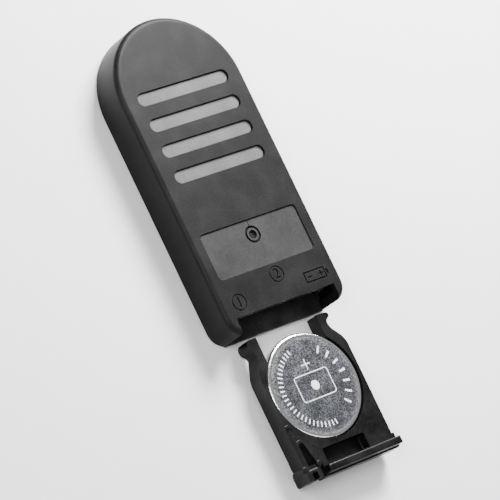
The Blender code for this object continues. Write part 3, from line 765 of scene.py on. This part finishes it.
def makeBlank(name, inset, low, high, backEdge=0.0, frontEdge=0.0):
    # the casing's plan as a solid: half a drum for the nose, pulled out to the square end
    half = halfWidth - inset
    blank = addDrum(name, (0, noseCentre), half, low, high, casing["noseSides"])
    openEdit(blank)
    selectAll()
    bpy.ops.mesh.bisect(plane_co=(0, noseCentre * mm, 0), plane_no=(0, 1, 0), use_fill=True,
                        clear_inner=True, threshold=1e-6)
    pick(blank, "faces", lambda face: face.normal.y < -0.99)
    end = -halfLength + inset
    pull(0, end - noseCentre, 0)
    pick(blank, "edges", lambda edge: abs(middleOf(edge).y - end) < 0.01
         and abs(abs(middleOf(edge).x) - half) < 0.01)
    bevelPicked(max(casing["cornerRound"] - inset, 0.3), 14)
    selectAll()
    bpy.ops.mesh.dissolve_limited(angle_limit=math.radians(0.2))
    for level, width, steps in ((high, backEdge, 9), (low, frontEdge, 4)):
        if width:
            pick(blank, "edges", lambda edge: all(abs(vert.co.z / mm - level) < 0.001 for vert in edge.verts))
            bevelPicked(width, steps)
    pick(blank, "faces", lambda face: face.normal.z > 0.999)
    bpy.ops.mesh.inset(thickness=casing["edgeBand"] * mm, depth=0)
    closeEdit()
    return blank


grooves = {"count": 4, "pitch": 5.14, "length": 21.1, "width": 2.5, "depth": 0.45,
           "fromNose": 14.1, "floorRound": 0.12}


def makeGrooveTool():
    # one round-ended bar, then its copies down the back
    radius = grooves["width"] / 2
    y = halfLength - grooves["fromNose"]
    bar = addDrum("grooveTool", (0, y), radius, backFace - grooves["depth"], backFace - casing["rimCut"], 48)
    flareTop(bar, casing["rimCut"])
    openEdit(bar)
    reach = (grooves["length"] - grooves["width"]) / 2
    for side in (-1, 1):
        pick(bar, "verts", lambda vert: side * vert.co.x / mm > 0.01)
        bpy.ops.transform.translate(value=(side * reach * mm, 0, 0))
    closeEdit()
    roundEdges(bar, grooves["floorRound"], 3, lambda spot: spot.z < backFace - 0.4)
    copies = [copyAt(bar, f"grooveTool{index}", (0, -index * grooves["pitch"], 0))
              for index in range(1, grooves["count"])]
    return [bar] + copies


gate = {"fromTop": 2.8, "radius": 1.65, "depth": 0.26, "seamWidth": 0.14, "seamDepth": 0.06,
        "steps": ((0.42, 0.30), (0.40, -0.32), (0.34, -0.12))}


def makeLabelTools():
    # the sunk label panel, its moulding gate and the weld line above the gate
    top = label["middle"] + label["height"] / 2
    low = top - label["height"]
    half = label["length"] / 2
    panelFloor = backFace - label["depth"]
    rim = backFace - casing["rimCut"]
    panel = addBlock("labelTool", (-half, low, panelFloor), (half, top, rim))
    roundEdges(panel, label["corner"], 6, lambda spot: abs(spot.z - (panelFloor + rim) / 2) < 0.01)
    roundEdges(panel, label["floorRound"], 3, lambda spot: abs(spot.z - panelFloor) < 0.01)
    flareTop(panel, casing["rimCut"])
    gateY = top - gate["fromTop"]
    dimple = addDrum("gateTool", (0, gateY), gate["radius"], panelFloor - gate["depth"], backFace + 1, 48)
    hollowUnder(dimple, *gate["steps"])
    seam = addBlock("seamTool", (-gate["seamWidth"] / 2, gateY + gate["radius"] - 0.1,
                                 panelFloor - gate["seamDepth"]),
                    (gate["seamWidth"] / 2, top - label["floorRound"], backFace + 1))
    return [panel, dimple, seam]


stepMarks = {"places": ((-9.6, -24.3, "1"), (0.75, -21.75, "2")), "radius": 1.6, "line": 0.26, "depth": 0.18,
             "digitSize": 2.75, "fatten": 0.035}


def makeDigitTool(text, x, y):
    clearSelection()
    bpy.ops.object.text_add()
    digit = bpy.context.object
    digit.data.body = text
    digit.data.align_x = "CENTER"
    digit.data.align_y = "CENTER"
    digit.data.size = stepMarks["digitSize"] * mm
    digit.data.offset = stepMarks["fatten"] * mm
    digit.data.extrude = 0.5 * mm
    digit.data.resolution_u = 6
    bpy.ops.object.convert(target="MESH")
    digit = bpy.context.object
    digit.location = (x * mm, y * mm, (backFace - stepMarks["depth"] + 0.5) * mm)
    digit = settle("digitTool" + text)
    cleanUp(digit)
    return digit


def makeRingTool(name, place, radius, line, depth):
    # a ring that sinks a circular line
    ring = addDrum(name, place, radius, backFace - depth, backFace + 1, 48)
    hollowUnder(ring, (line, depth + 0.7))
    return ring


batterySign = {"left": 6.1, "right": 11.1, "low": -25.35, "high": -23.2, "line": 0.3, "depth": 0.2,
               "nub": 0.5, "nubHalf": 0.5, "nubGap": 0.12, "signReach": 0.55, "signIn": 1.15}


def makeBatterySign():
    # a plain battery outline with its plus and minus
    sign = batterySign
    floor, over = backFace - sign["depth"], backFace + 1
    middle = (sign["low"] + sign["high"]) / 2
    frameBar = addBlock("signTool", (sign["left"], sign["low"], floor), (sign["right"], sign["high"], over))
    hollowUnder(frameBar, (sign["line"], sign["depth"] + 0.7))
    nubLeft = sign["right"] + sign["nubGap"]
    nub = addBlock("nubTool", (nubLeft, middle - sign["nubHalf"], floor),
                   (nubLeft + sign["nub"], middle + sign["nubHalf"], over))
    thin, reach = sign["line"] / 2, sign["signReach"]
    plusX, minusX = sign["right"] - sign["signIn"], sign["left"] + sign["signIn"]
    plusBar, minusBar = [
        addBlock("signBar", (x - reach, middle - thin, floor), (x + reach, middle + thin, over))
        for x in (plusX, minusX)]
    fuseOn(plusBar, addBlock("signPost", (plusX - thin, middle - reach, floor),
                             (plusX + thin, middle + reach, over)))
    return [frameBar, nub, plusBar, minusBar]


def makeWindowBar(name, clear):
    # a curved bar let into the nose wall: half a ring cut off at both sides
    low, high = windowLow[2] - clear, windowHigh[2] + clear
    outer = halfWidth + (1.0 if clear else 0.0)
    inner = halfWidth - casing["wall"] - (1.0 if clear else 0.0)
    bar = addDrum(name, (0, noseCentre), outer, low, high, casing["noseSides"])
    cutAway(bar, addDrum("windowCore", (0, noseCentre), inner, low - 1, high + 1, casing["noseSides"]))
    openEdit(bar)
    half = math.radians(casing["windowHalfAngle"] - (0 if clear else casing["windowGapAngle"]))
    centre = (0, noseCentre * mm, 0)
    selectAll()
    bpy.ops.mesh.bisect(plane_co=centre, plane_no=(0, 1, 0), use_fill=True, clear_inner=True, threshold=1e-7)
    for side in (-1, 1):
        selectAll()
        bpy.ops.mesh.bisect(plane_co=centre, plane_no=(side * math.cos(half), -math.sin(half), 0),
                            use_fill=True, clear_outer=True, threshold=1e-7)
    closeEdit()
    return bar


def makeRearCover():
    cover = makeBlank("rearCover", 0, 0, backFace, casing["backEdge"], casing["frontEdge"])
    cutAway(cover, makeBlank("cavityTool", casing["wall"], -1, backFace - casing["backWall"]))
    mouth = addBlock("mouthTool", (-casing["mouthHalf"], -halfLength - 1, -1),
                     (casing["mouthHalf"], -halfLength + casing["mouthDeep"], backFace - casing["rimCut"]))
    flareTop(mouth, casing["rimCut"])
    cutAway(cover, mouth, makeWindowBar("windowTool", casing["windowClear"]))
    cutAway(cover, *makeGrooveTool())
    cutAway(cover, *makeLabelTools())
    for x, y, text in stepMarks["places"]:
        cutAway(cover, makeRingTool("ringTool" + text, (x, y), stepMarks["radius"], stepMarks["line"],
                                    stepMarks["depth"]))
        cutAway(cover, makeDigitTool(text, x, y))
    cutAway(cover, *makeBatterySign())
    cleanUp(cover)
    shade(cover)
    dress(cover, materials["casingPlastic"])
    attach(cover, "casing")
    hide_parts("rear_cover")
    return cover


# Front cover

frontPlate = {"inset": 1.55, "lowEdge": 0.3, "tongueHalf": 11.55, "tongueBack": -24.9, "edgeRound": 0.15,
              "thick": 1.1, "root": 0.3, "railIn": 11.05, "railOut": 12.3, "railStart": -26.8,
              "railEnd": -4.1, "railTop": 3.3, "railEdge": 0.25, "postRadius": 1.0, "postTop": 3.1,
              "postEdge": 0.15,
              "posts": ((-9.6, 1.0), (9.6, 1.0), (-9.6, 18.0), (9.6, 18.0)),
              "holeClear": 0.15, "holeEdge": 0.12, "flange": 0.9, "ledge": 0.65, "buttonRadius": 4.5,
              "pins": ((-7.5, -28.2), (7.5, -28.2), (0, -12)), "pinRadius": 0.8, "markDepth": 0.05,
              "weldFrom": (-3.4, -29.2), "weldTo": (-3.3, -25.2)}


def makeFrontCover():
    plate = frontPlate
    top = plate["thick"]
    foot = top - plate["root"]
    cover = makeBlank("frontCover", plate["inset"], 0, top, 0, plate["lowEdge"])
    tongue = addBlock("tongue", (-plate["tongueHalf"], -halfLength, 0),
                      (plate["tongueHalf"], plate["tongueBack"], top))
    outerEnd = -halfLength + 0.01
    roundEdges(tongue, plate["lowEdge"], 4, lambda spot: spot.y < outerEnd and spot.z < 0.01)
    roundEdges(tongue, plate["edgeRound"], 3, lambda spot: spot.y < outerEnd and spot.z > top - 0.01)
    fuseOn(cover, tongue)
    for side in (-1, 1):
        low, high = sorted((side * plate["railIn"], side * plate["railOut"]))
        start, railTop = plate["railStart"], plate["railTop"]
        rail = addBlock("guideRail", (low, start, foot), (high, plate["railEnd"], railTop))
        roundEdges(rail, plate["railEdge"], 3,
                   lambda spot: spot.z > railTop - 0.01 or abs(spot.y - start) < 0.01)
        fuseOn(cover, rail)
    for x, y in plate["posts"]:
        post = addDrum("boardPost", (x, y), plate["postRadius"], foot, plate["postTop"], 32)
        roundTop(post, plate["postEdge"], 2, plate["postTop"])
        fuseOn(cover, post)
    hole = plate["buttonRadius"] + plate["holeClear"]
    bore = addDrum("buttonHole", (0, buttonY), hole, -1, top + 1, 96)
    seat = addDrum("buttonSeat", (0, buttonY), hole + plate["flange"] + plate["holeClear"],
                   plate["ledge"], top + 1, 96)
    cutAway(cover, bore, seat)
    markFloor = top - plate["markDepth"]
    for place in plate["pins"]:
        cutAway(cover, addDrum("pinMark", place, plate["pinRadius"], markFloor, top + 1, 32))
    cutAway(cover, addBlock("weldLine", (*plate["weldFrom"], markFloor), (*plate["weldTo"], top + 1)))
    cleanUp(cover)
    middle = Vector((0, buttonY))
    roundEdges(cover, plate["holeEdge"], 2,
               lambda spot: spot.z < 0.01 and (spot.xy - middle).length < hole + 0.1)
    shade(cover)
    dress(cover, materials["frontPlastic"])
    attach(cover, "casing")
    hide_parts("front_cover")
    return cover


# Infrared window and trigger button

def makeWindow():
    window = makeWindowBar("infraredWindow", 0)
    cleanUp(window)
    roundEdges(window, 0.12, 3, lambda spot: (spot.xy - Vector((0, noseCentre))).length > halfWidth - 0.2)
    shade(window)
    dress(window, materials["windowPlastic"])
    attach(window, "casing")
    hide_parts("ir_window")
    return window


button = {"flange": 0.9, "flangeLow": 0.75, "flangeTop": 1.2, "flangeEdge": 0.08, "dish": 0.32,
          "dishReach": 0.86, "dishLow": 0.02, "postRadius": 1.5, "edge": 0.22}


def makeButton():
    # a dished cap with a flange behind the plate and a post towards the switch
    radius = frontPlate["buttonRadius"]
    rim, post, soft = radius + button["flange"], button["postRadius"], button["flangeEdge"]
    low, top = button["flangeLow"], button["flangeTop"]
    dish = [(radius * button["dishReach"] * math.sin(step * math.pi / 14),
             button["dish"] * math.cos(step * math.pi / 14) ** 2 + button["dishLow"]) for step in range(8)]
    edge = [(radius - button["edge"] * (1 - math.sin(step * math.pi / 8)),
             button["edge"] * (1 - math.cos(step * math.pi / 8))) for step in range(5)]
    back = [(radius, low), (rim - soft, low), (rim, low + soft), (rim, top - soft), (rim - soft, top),
            (post + 0.2, top), (post, top + 0.15), (post, buttonHigh[2]), (0, buttonHigh[2])]
    cap = turnPiece("triggerButton", dish + edge + back, (0, buttonY))
    shade(cap)
    dress(cap, materials["buttonPlastic"])
    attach(cap, "button")
    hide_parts("trigger_button")
    return cap


# Battery tray, measured from the middle of its cell

tray = {
    "half": 10.8, "capHalf": 11.3, "capInner": -13.1, "capOuter": -15.9, "hookTip": 11.7, "capLeft": -6.3,
    "pocket": 10.15, "ledgeIn": 8.85, "ledge": 0.4, "deck": 4.5, "gapLeft": -7.7, "gapRight": 6.9,
    "ridge": 1.8, "ridgeDraft": 0.4, "ridgeFoot": 0.2, "ridgeEdge": 0.28, "ridgeEnds": 0.3,
    "slotEnd": -9.2, "slotRound": 0.58, "slotMiddle": -9.14, "stripEnd": -4.9, "edgeRound": 0.1,
}


def fromCell(corners):
    return [(cellX + x, cellY + y, rounding) for x, y, rounding in corners]


def makeTray():
    t = tray
    low = trayLow[2]
    deck = t["deck"]
    frameCorners = [
        (t["capHalf"], t["capOuter"], 0.4), (t["capHalf"], t["capInner"], 0.2), (t["half"], t["capInner"], 0),
        (t["half"], 6.0, 1.2), (8.5, 8.9, 0.8), (8.5, 10.1, 0.3), (9.6, 10.8, 0.28), (9.5, 11.5, 0.25),
        (8.4, t["hookTip"], 0.3), (-9.6, t["hookTip"], 0.35), (-10.3, 10.8, 0.35), (-10.1, 9.9, 0.25),
        (-9.0, 8.7, 0.5), (-t["half"], 4.8, 1.0), (-t["half"], t["slotEnd"], 0), (-8.56, t["slotEnd"], 0),
        (-7.5, t["capInner"] + 0.1, 0.3), (t["capLeft"], t["capInner"] - 0.2, 0.1),
        (t["capLeft"], t["capOuter"], 0.35),
    ]
    frameBody = tracePlate("batteryTray", fromCell(frameCorners), low, deck)
    middle = (cellX, cellY)
    pocket = addDrum("pocketTool", middle, t["pocket"], low + t["ledge"], deck + 1, 160)
    through = addDrum("throughTool", middle, t["ledgeIn"], low - 1, deck + 1, 120)
    gap = addBlock("gapTool", (cellX + t["gapLeft"], cellY, low - 1),
                   (cellX + t["gapRight"], cellY + t["hookTip"] + 1, deck + 1))
    cutAway(frameBody, pocket, through, gap)
    fuseOn(frameBody, makeRidge(low), *makeSlotRim(deck))
    slotRound = addDrum("slotTool", (cellX + t["slotMiddle"], cellY + t["slotEnd"]), t["slotRound"],
                        low - 1, deck + 1, 48)
    cutAway(frameBody, makeNailTool(deck), slotRound, *makePinTools(deck))
    cleanUp(frameBody)
    roundEdges(frameBody, t["edgeRound"], 2,
               lambda spot: abs(spot.z - deck) < 0.02 or abs(spot.z - low) < 0.02)
    shade(frameBody)
    dress(frameBody, materials["trayPlastic"])
    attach(frameBody, "tray")
    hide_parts("tray_frame")
    return frameBody


def makeRidge(low):
    # the end cap's ridge, leaning in a little at its outer face
    t = tray
    top = trayHigh[2]
    outer, inner = cellY + t["capOuter"], cellY + t["capOuter"] + t["ridge"]
    foot = low + t["ridgeFoot"]
    ridge = addBlock("capRidge", (cellX + t["capLeft"] + 0.01, outer + 0.01, foot),
                     (cellX + t["capHalf"] - 0.01, inner, top))
    openEdit(ridge)
    pick(ridge, "edges", lambda edge: abs(middleOf(edge).z - top) < 0.01
         and abs(middleOf(edge).y - outer) < 0.05)
    bpy.ops.transform.translate(value=(0, t["ridgeDraft"] * mm, 0))
    closeEdit()
    roundTop(ridge, t["ridgeEdge"], 4, top)
    roundEdges(ridge, t["ridgeEnds"], 4,
               lambda spot: abs(spot.z - (foot + top) / 2) < 0.2 and spot.y < outer + 0.6)
    return ridge


slotRim = {"rise": 0.35, "root": 0.5, "edge": 0.15, "crown": 1.15, "stub": (-7.25, -13.25, 0.62),
           "stubRise": 0.15, "stubEdge": 0.18, "stripEdge": 0.12, "stripRise": 0.03,
           "bead": ((-7.55, -13.2, 0.3), (-6.95, -13.2, 0.3), (-7.95, -9.1, 0), (-8.56, -9.1, 0))}


def makeSlotRim(deck):
    # a raised bead beside the latch's slot, a half ring round the slot's end and a strip along the edge
    rim = slotRim
    foot, rimHigh = deck - rim["root"], deck + rim["rise"]
    bead = tracePlate("slotBead", fromCell(rim["bead"]), foot, rimHigh, 4)
    roundTop(bead, rim["edge"], 3, rimHigh)
    x, y, radius = rim["stub"]
    stubHigh = rimHigh + rim["stubRise"]
    stub = addDrum("beadStub", (cellX + x, cellY + y), radius, foot, stubHigh, 32)
    roundTop(stub, rim["stubEdge"], 3, stubHigh)
    centre = (cellX + tray["slotMiddle"], cellY + tray["slotEnd"])
    crown = addDrum("slotCrown", centre, rim["crown"], foot, rimHigh, 48)
    roundTop(crown, rim["edge"], 3, rimHigh)
    cutAway(crown, addBlock("crownTool", (centre[0] - 2, centre[1] - 2, deck - 1),
                            (centre[0] + 2, centre[1] - 0.02, rimHigh + 1)))
    strip = addBlock("edgeStrip", (cellX - tray["half"] + 0.02, centre[1], foot),
                     (cellX + latch["armInner"] - 0.02, cellY + tray["stripEnd"],
                      deck + latch["armRise"] + rim["stripRise"]))
    roundEdges(strip, rim["stripEdge"], 2, lambda spot: spot.z > deck and spot.y > centre[1] + 0.1)
    return [bead, stub, crown, strip]


nailSlot = {"half": 5.0, "low": -13.95, "high": -11.0, "depth": 2.0}


def makeNailTool(deck):
    # the finger-nail recess beside the ridge
    half, floor = nailSlot["half"], deck - nailSlot["depth"]
    tool = addBlock("nailTool", (cellX - half, cellY + nailSlot["low"], floor),
                    (cellX + half, cellY + nailSlot["high"], deck + 2))
    roundEdges(tool, 0.3, 4, lambda spot: abs(spot.z - (floor + deck + 2) / 2) < 0.01)
    roundEdges(tool, 0.2, 3, lambda spot: spot.z < floor + 0.01)
    return tool


pinMarks = {"places": ((-10.05, -6.3), (-6.7, -10.7), (7.3, -9.7), (9.2, -12.2)),
            "radius": 0.85, "depth": 0.07}


def makePinTools(deck):
    # where the ejector pins pushed the moulding out
    floor = deck - pinMarks["depth"]
    return [addDrum("pinTool", (cellX + x, cellY + y), pinMarks["radius"], floor, deck + 1, 32)
            for x, y in pinMarks["places"]]


latch = {"armOuter": -10.78, "armInner": -9.74, "armTaper": 0.12, "rootY": -8.2, "armEnd": -13.5,
         "armRise": 0.30, "armCuts": (-9.6, -10.3, -11.0, -11.7, -12.4, -13.0),
         "headLeft": -11.3, "headRight": -7.9, "headHigh": 4.3, "channel": 1.25, "channelEnd": -14.2,
         "channelFloor": 0.8, "waistDeep": 0.9, "bump": (-10.85, -13.55, 0.7)}


def makeLatch():
    # the squeeze latch: a springy arm out of the frame, a forked head and a round catch
    k = latch
    low = latchLow[2]
    headTop = low + k["headHigh"]
    deck = tray["deck"]
    armTop = deck + k["armRise"]
    arm = tracePlate("latchArm", fromCell([
        (k["armOuter"], k["rootY"], 0), (k["armInner"], k["rootY"], 0),
        (k["armInner"] + k["armTaper"], k["armEnd"], 0), (k["armOuter"], k["armEnd"], 0)]), low, armTop)
    openEdit(arm)
    for y in k["armCuts"]:
        selectAll()
        bpy.ops.mesh.bisect(plane_co=(0, (cellY + y) * mm, 0), plane_no=(0, 1, 0), threshold=1e-7)
    closeEdit()
    head = tracePlate("latchHead", fromCell([
        (k["headLeft"], tray["capOuter"], 0.5), (k["headRight"], tray["capOuter"] + 0.15, 0.5),
        (k["headRight"], tray["capInner"], 0.35), (k["headLeft"] + 0.3, tray["capInner"], 0.35),
        (k["headLeft"], tray["capInner"] - 0.6, 0.3)]), low, headTop)
    roundEdges(head, 0.22, 3, lambda spot: abs(spot.z - headTop) < 0.01)
    middle = cellX + (k["headLeft"] + k["headRight"]) / 2
    halfChannel, inner = k["channel"] / 2, cellY + k["channelEnd"]
    channel = addBlock("channelTool",
                       (middle - halfChannel, cellY + tray["capOuter"] - 1, low + k["channelFloor"]),
                       (middle + halfChannel, inner, headTop + 1))
    roundEdges(channel, 0.4, 5, lambda spot: abs(spot.y - inner) < 0.01 and spot.z > low + 1.5)
    cutAway(head, channel)
    notch = addBlock("waistTool", (middle - 2, inner + 0.1, headTop - k["waistDeep"]),
                     (middle + 2.4, cellY + tray["capInner"] + 0.5, headTop + 1))
    roundEdges(notch, 0.4, 4, lambda spot: spot.z < headTop)
    cutAway(head, notch)
    x, y, radius = k["bump"]
    bump = addDrum("latchBump", (cellX + x, cellY + y), radius, low + 0.5, headTop - 0.4, 40)
    roundTop(bump, 0.25, 4, headTop - 0.4)
    lever = arm
    fuseOn(lever, head, bump)
    lever.name = "latchLever"
    cleanUp(lever)
    slotEnd = cellY + tray["slotEnd"]
    roundEdges(lever, 0.1, 2, lambda spot: abs(spot.z - armTop) < 0.02 and spot.y < slotEnd)
    shade(lever)
    dress(lever, materials["trayPlastic"])
    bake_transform(lever)
    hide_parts("latch_lever")
    return lever


# Coin cell

cell = {
    "steel": 0.25, "innerRound": 0.3, "shoulder": 0.55, "shoulderDrop": 0.4675,
    # points by how far they are in from the wall, and down from the top or up from the low edge
    "shelf": ((1.3, 0), (1.05, 0.04), (0.8, 0.02), (0.65, 0)),
    "crimp": ((0, 0.5), (0.08, 0.22), (0.25, 0.06), (0.5, 0.02), (0.75, 0.06), (0.75, 0.26), (0.25, 0.45)),
}


def makeCell():
    # the can: crowned shoulder, crimped lower edge and an open underside
    radius, top, low = cellRadius, cellHigh[2], cellLow[2]
    bend, inner, ceiling = cell["innerRound"], radius - cell["steel"], top - cell["steel"]
    shelf = [(radius - inward, top - down) for inward, down in cell["shelf"]]
    shoulder = [(radius - cell["shoulder"] * (1 - math.sin(step * math.pi / 12)),
                 top - cell["shoulderDrop"] * (1 - math.cos(step * math.pi / 12))) for step in range(7)]
    crimp = [(radius - inward, low + up) for inward, up in cell["crimp"]]
    inside = [(inner, ceiling - bend), (inner - bend, ceiling), (0, ceiling)]
    can = turnPiece("cellCan", [(0, top)] + shelf + shoulder + crimp + inside, (cellX, cellY), 160)
    shade(can)
    dress(can, materials["canSteel"])
    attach(can, "tray")
    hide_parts("cell_can")
    return can


for makePiece in (makeRearCover, makeFrontCover, makeWindow, makeButton, makeTray, makeLatch, makeCell):
    print("made", makePiece().name)


# Pieces that keep their shape and take a finish

keptPieces = {
    "boardLaminate": ["circuit_board"], "lampResin": ["ir_led"],
    "tinnedWire": ["led_lead_left", "led_lead_right"], "chipEpoxy": ["encoder_chip", "driver_transistor"],
    "resonatorResin": ["ceramic_resonator"], "tantalumCase": ["bulk_capacitor"],
    "capacitorCeramic": ["small_capacitor"], "resistorGlaze": ["resistor_1", "resistor_2", "resistor_3"],
    "springSteel": ["positive_contact", "negative_contact"], "switchPlastic": ["switch_base"],
    "plungerPlastic": ["switch_plunger"], "capSteel": ["cell_cap"], "gasketNylon": ["cell_gasket"],
    "lithiumMetal": ["lithium_disc"], "separatorFelt": ["separator"], "cathodeMix": ["cathode_pellet"],
}
for finish, nodes in keptPieces.items():
    for node in nodes:
        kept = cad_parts[node]
        kept.data.materials.clear()
        kept.data.materials.append(materials[finish])
    print("finished in", finish + ":", ", ".join(nodes))


# Studio

studio = {
    "aimAcross": 8.8, "aimUp": -12.35, "distance": 609.8, "lens": 243.0,
    "back": (-0.6155, -0.1406, 0.7755), "roll": 54.3, "worldLight": 0.30, "floorReach": 3.0,
    "floorLow": -0.05, "lampAim": (0, -0.014, 0),
}


def makeCamera():
    # stands off behind and above, rolled so that the casing leans in the picture
    back = Vector(studio["back"]).normalized()
    level = Vector((0, 0, 1)).cross(back).normalized()
    turn = math.radians(studio["roll"])
    across = math.cos(turn) * level + math.sin(turn) * back.cross(level)
    upward = back.cross(across)
    place = studio["aimAcross"] * across + studio["aimUp"] * upward + studio["distance"] * back
    axes = Matrix((across, upward, back)).transposed()
    lens = bpy.data.cameras.new("camera")
    lens.lens = studio["lens"]
    lens.clip_start = 0.01
    lens.clip_end = 20
    camera = bpy.data.objects.new("camera", lens)
    camera.matrix_world = Matrix.Translation(place * mm) @ axes.to_4x4()
    bpy.context.scene.collection.objects.link(camera)
    bpy.context.scene.camera = camera


lamps = {
    # name: place, size across and along in metres, watts
    "topSheen": ((0.12, 0.14, 0.155), 0.11, 0.11, 3.2),
    "edgeSheen": ((-0.50, 0.10, 0.52), 0.34, 0.20, 4.5),
    "frontFill": ((0.05, -0.60, 0.45), 0.50, 0.30, 1.6),
}


def addLamp(name, place, across, along, watts):
    light = bpy.data.lights.new(name, "AREA")
    light.shape = "RECTANGLE"
    light.size = across
    light.size_y = along
    light.energy = watts
    lamp = bpy.data.objects.new(name, light)
    lamp.location = place
    lamp.rotation_euler = (Vector(studio["lampAim"]) - Vector(place)).to_track_quat("-Z", "Y").to_euler()
    lamp.visible_camera = False
    bpy.context.scene.collection.objects.link(lamp)


def makeStudio():
    world = bpy.data.worlds.new("studioAir")
    world.use_nodes = True
    air = world.node_tree.nodes["Background"]
    air.inputs["Color"].default_value = (1.0, 1.0, 1.0, 1.0)
    air.inputs["Strength"].default_value = studio["worldLight"]
    bpy.context.scene.world = world
    for name, (place, across, along, watts) in lamps.items():
        addLamp(name, place, across, along, watts)
    clearSelection()
    bpy.ops.mesh.primitive_plane_add(size=studio["floorReach"], location=(0, 0, studio["floorLow"] * mm))
    floor = settle("studioFloor")
    floor.data.materials.append(makeFloorFinish())


makeCamera()
makeStudio()
print("studio ready")
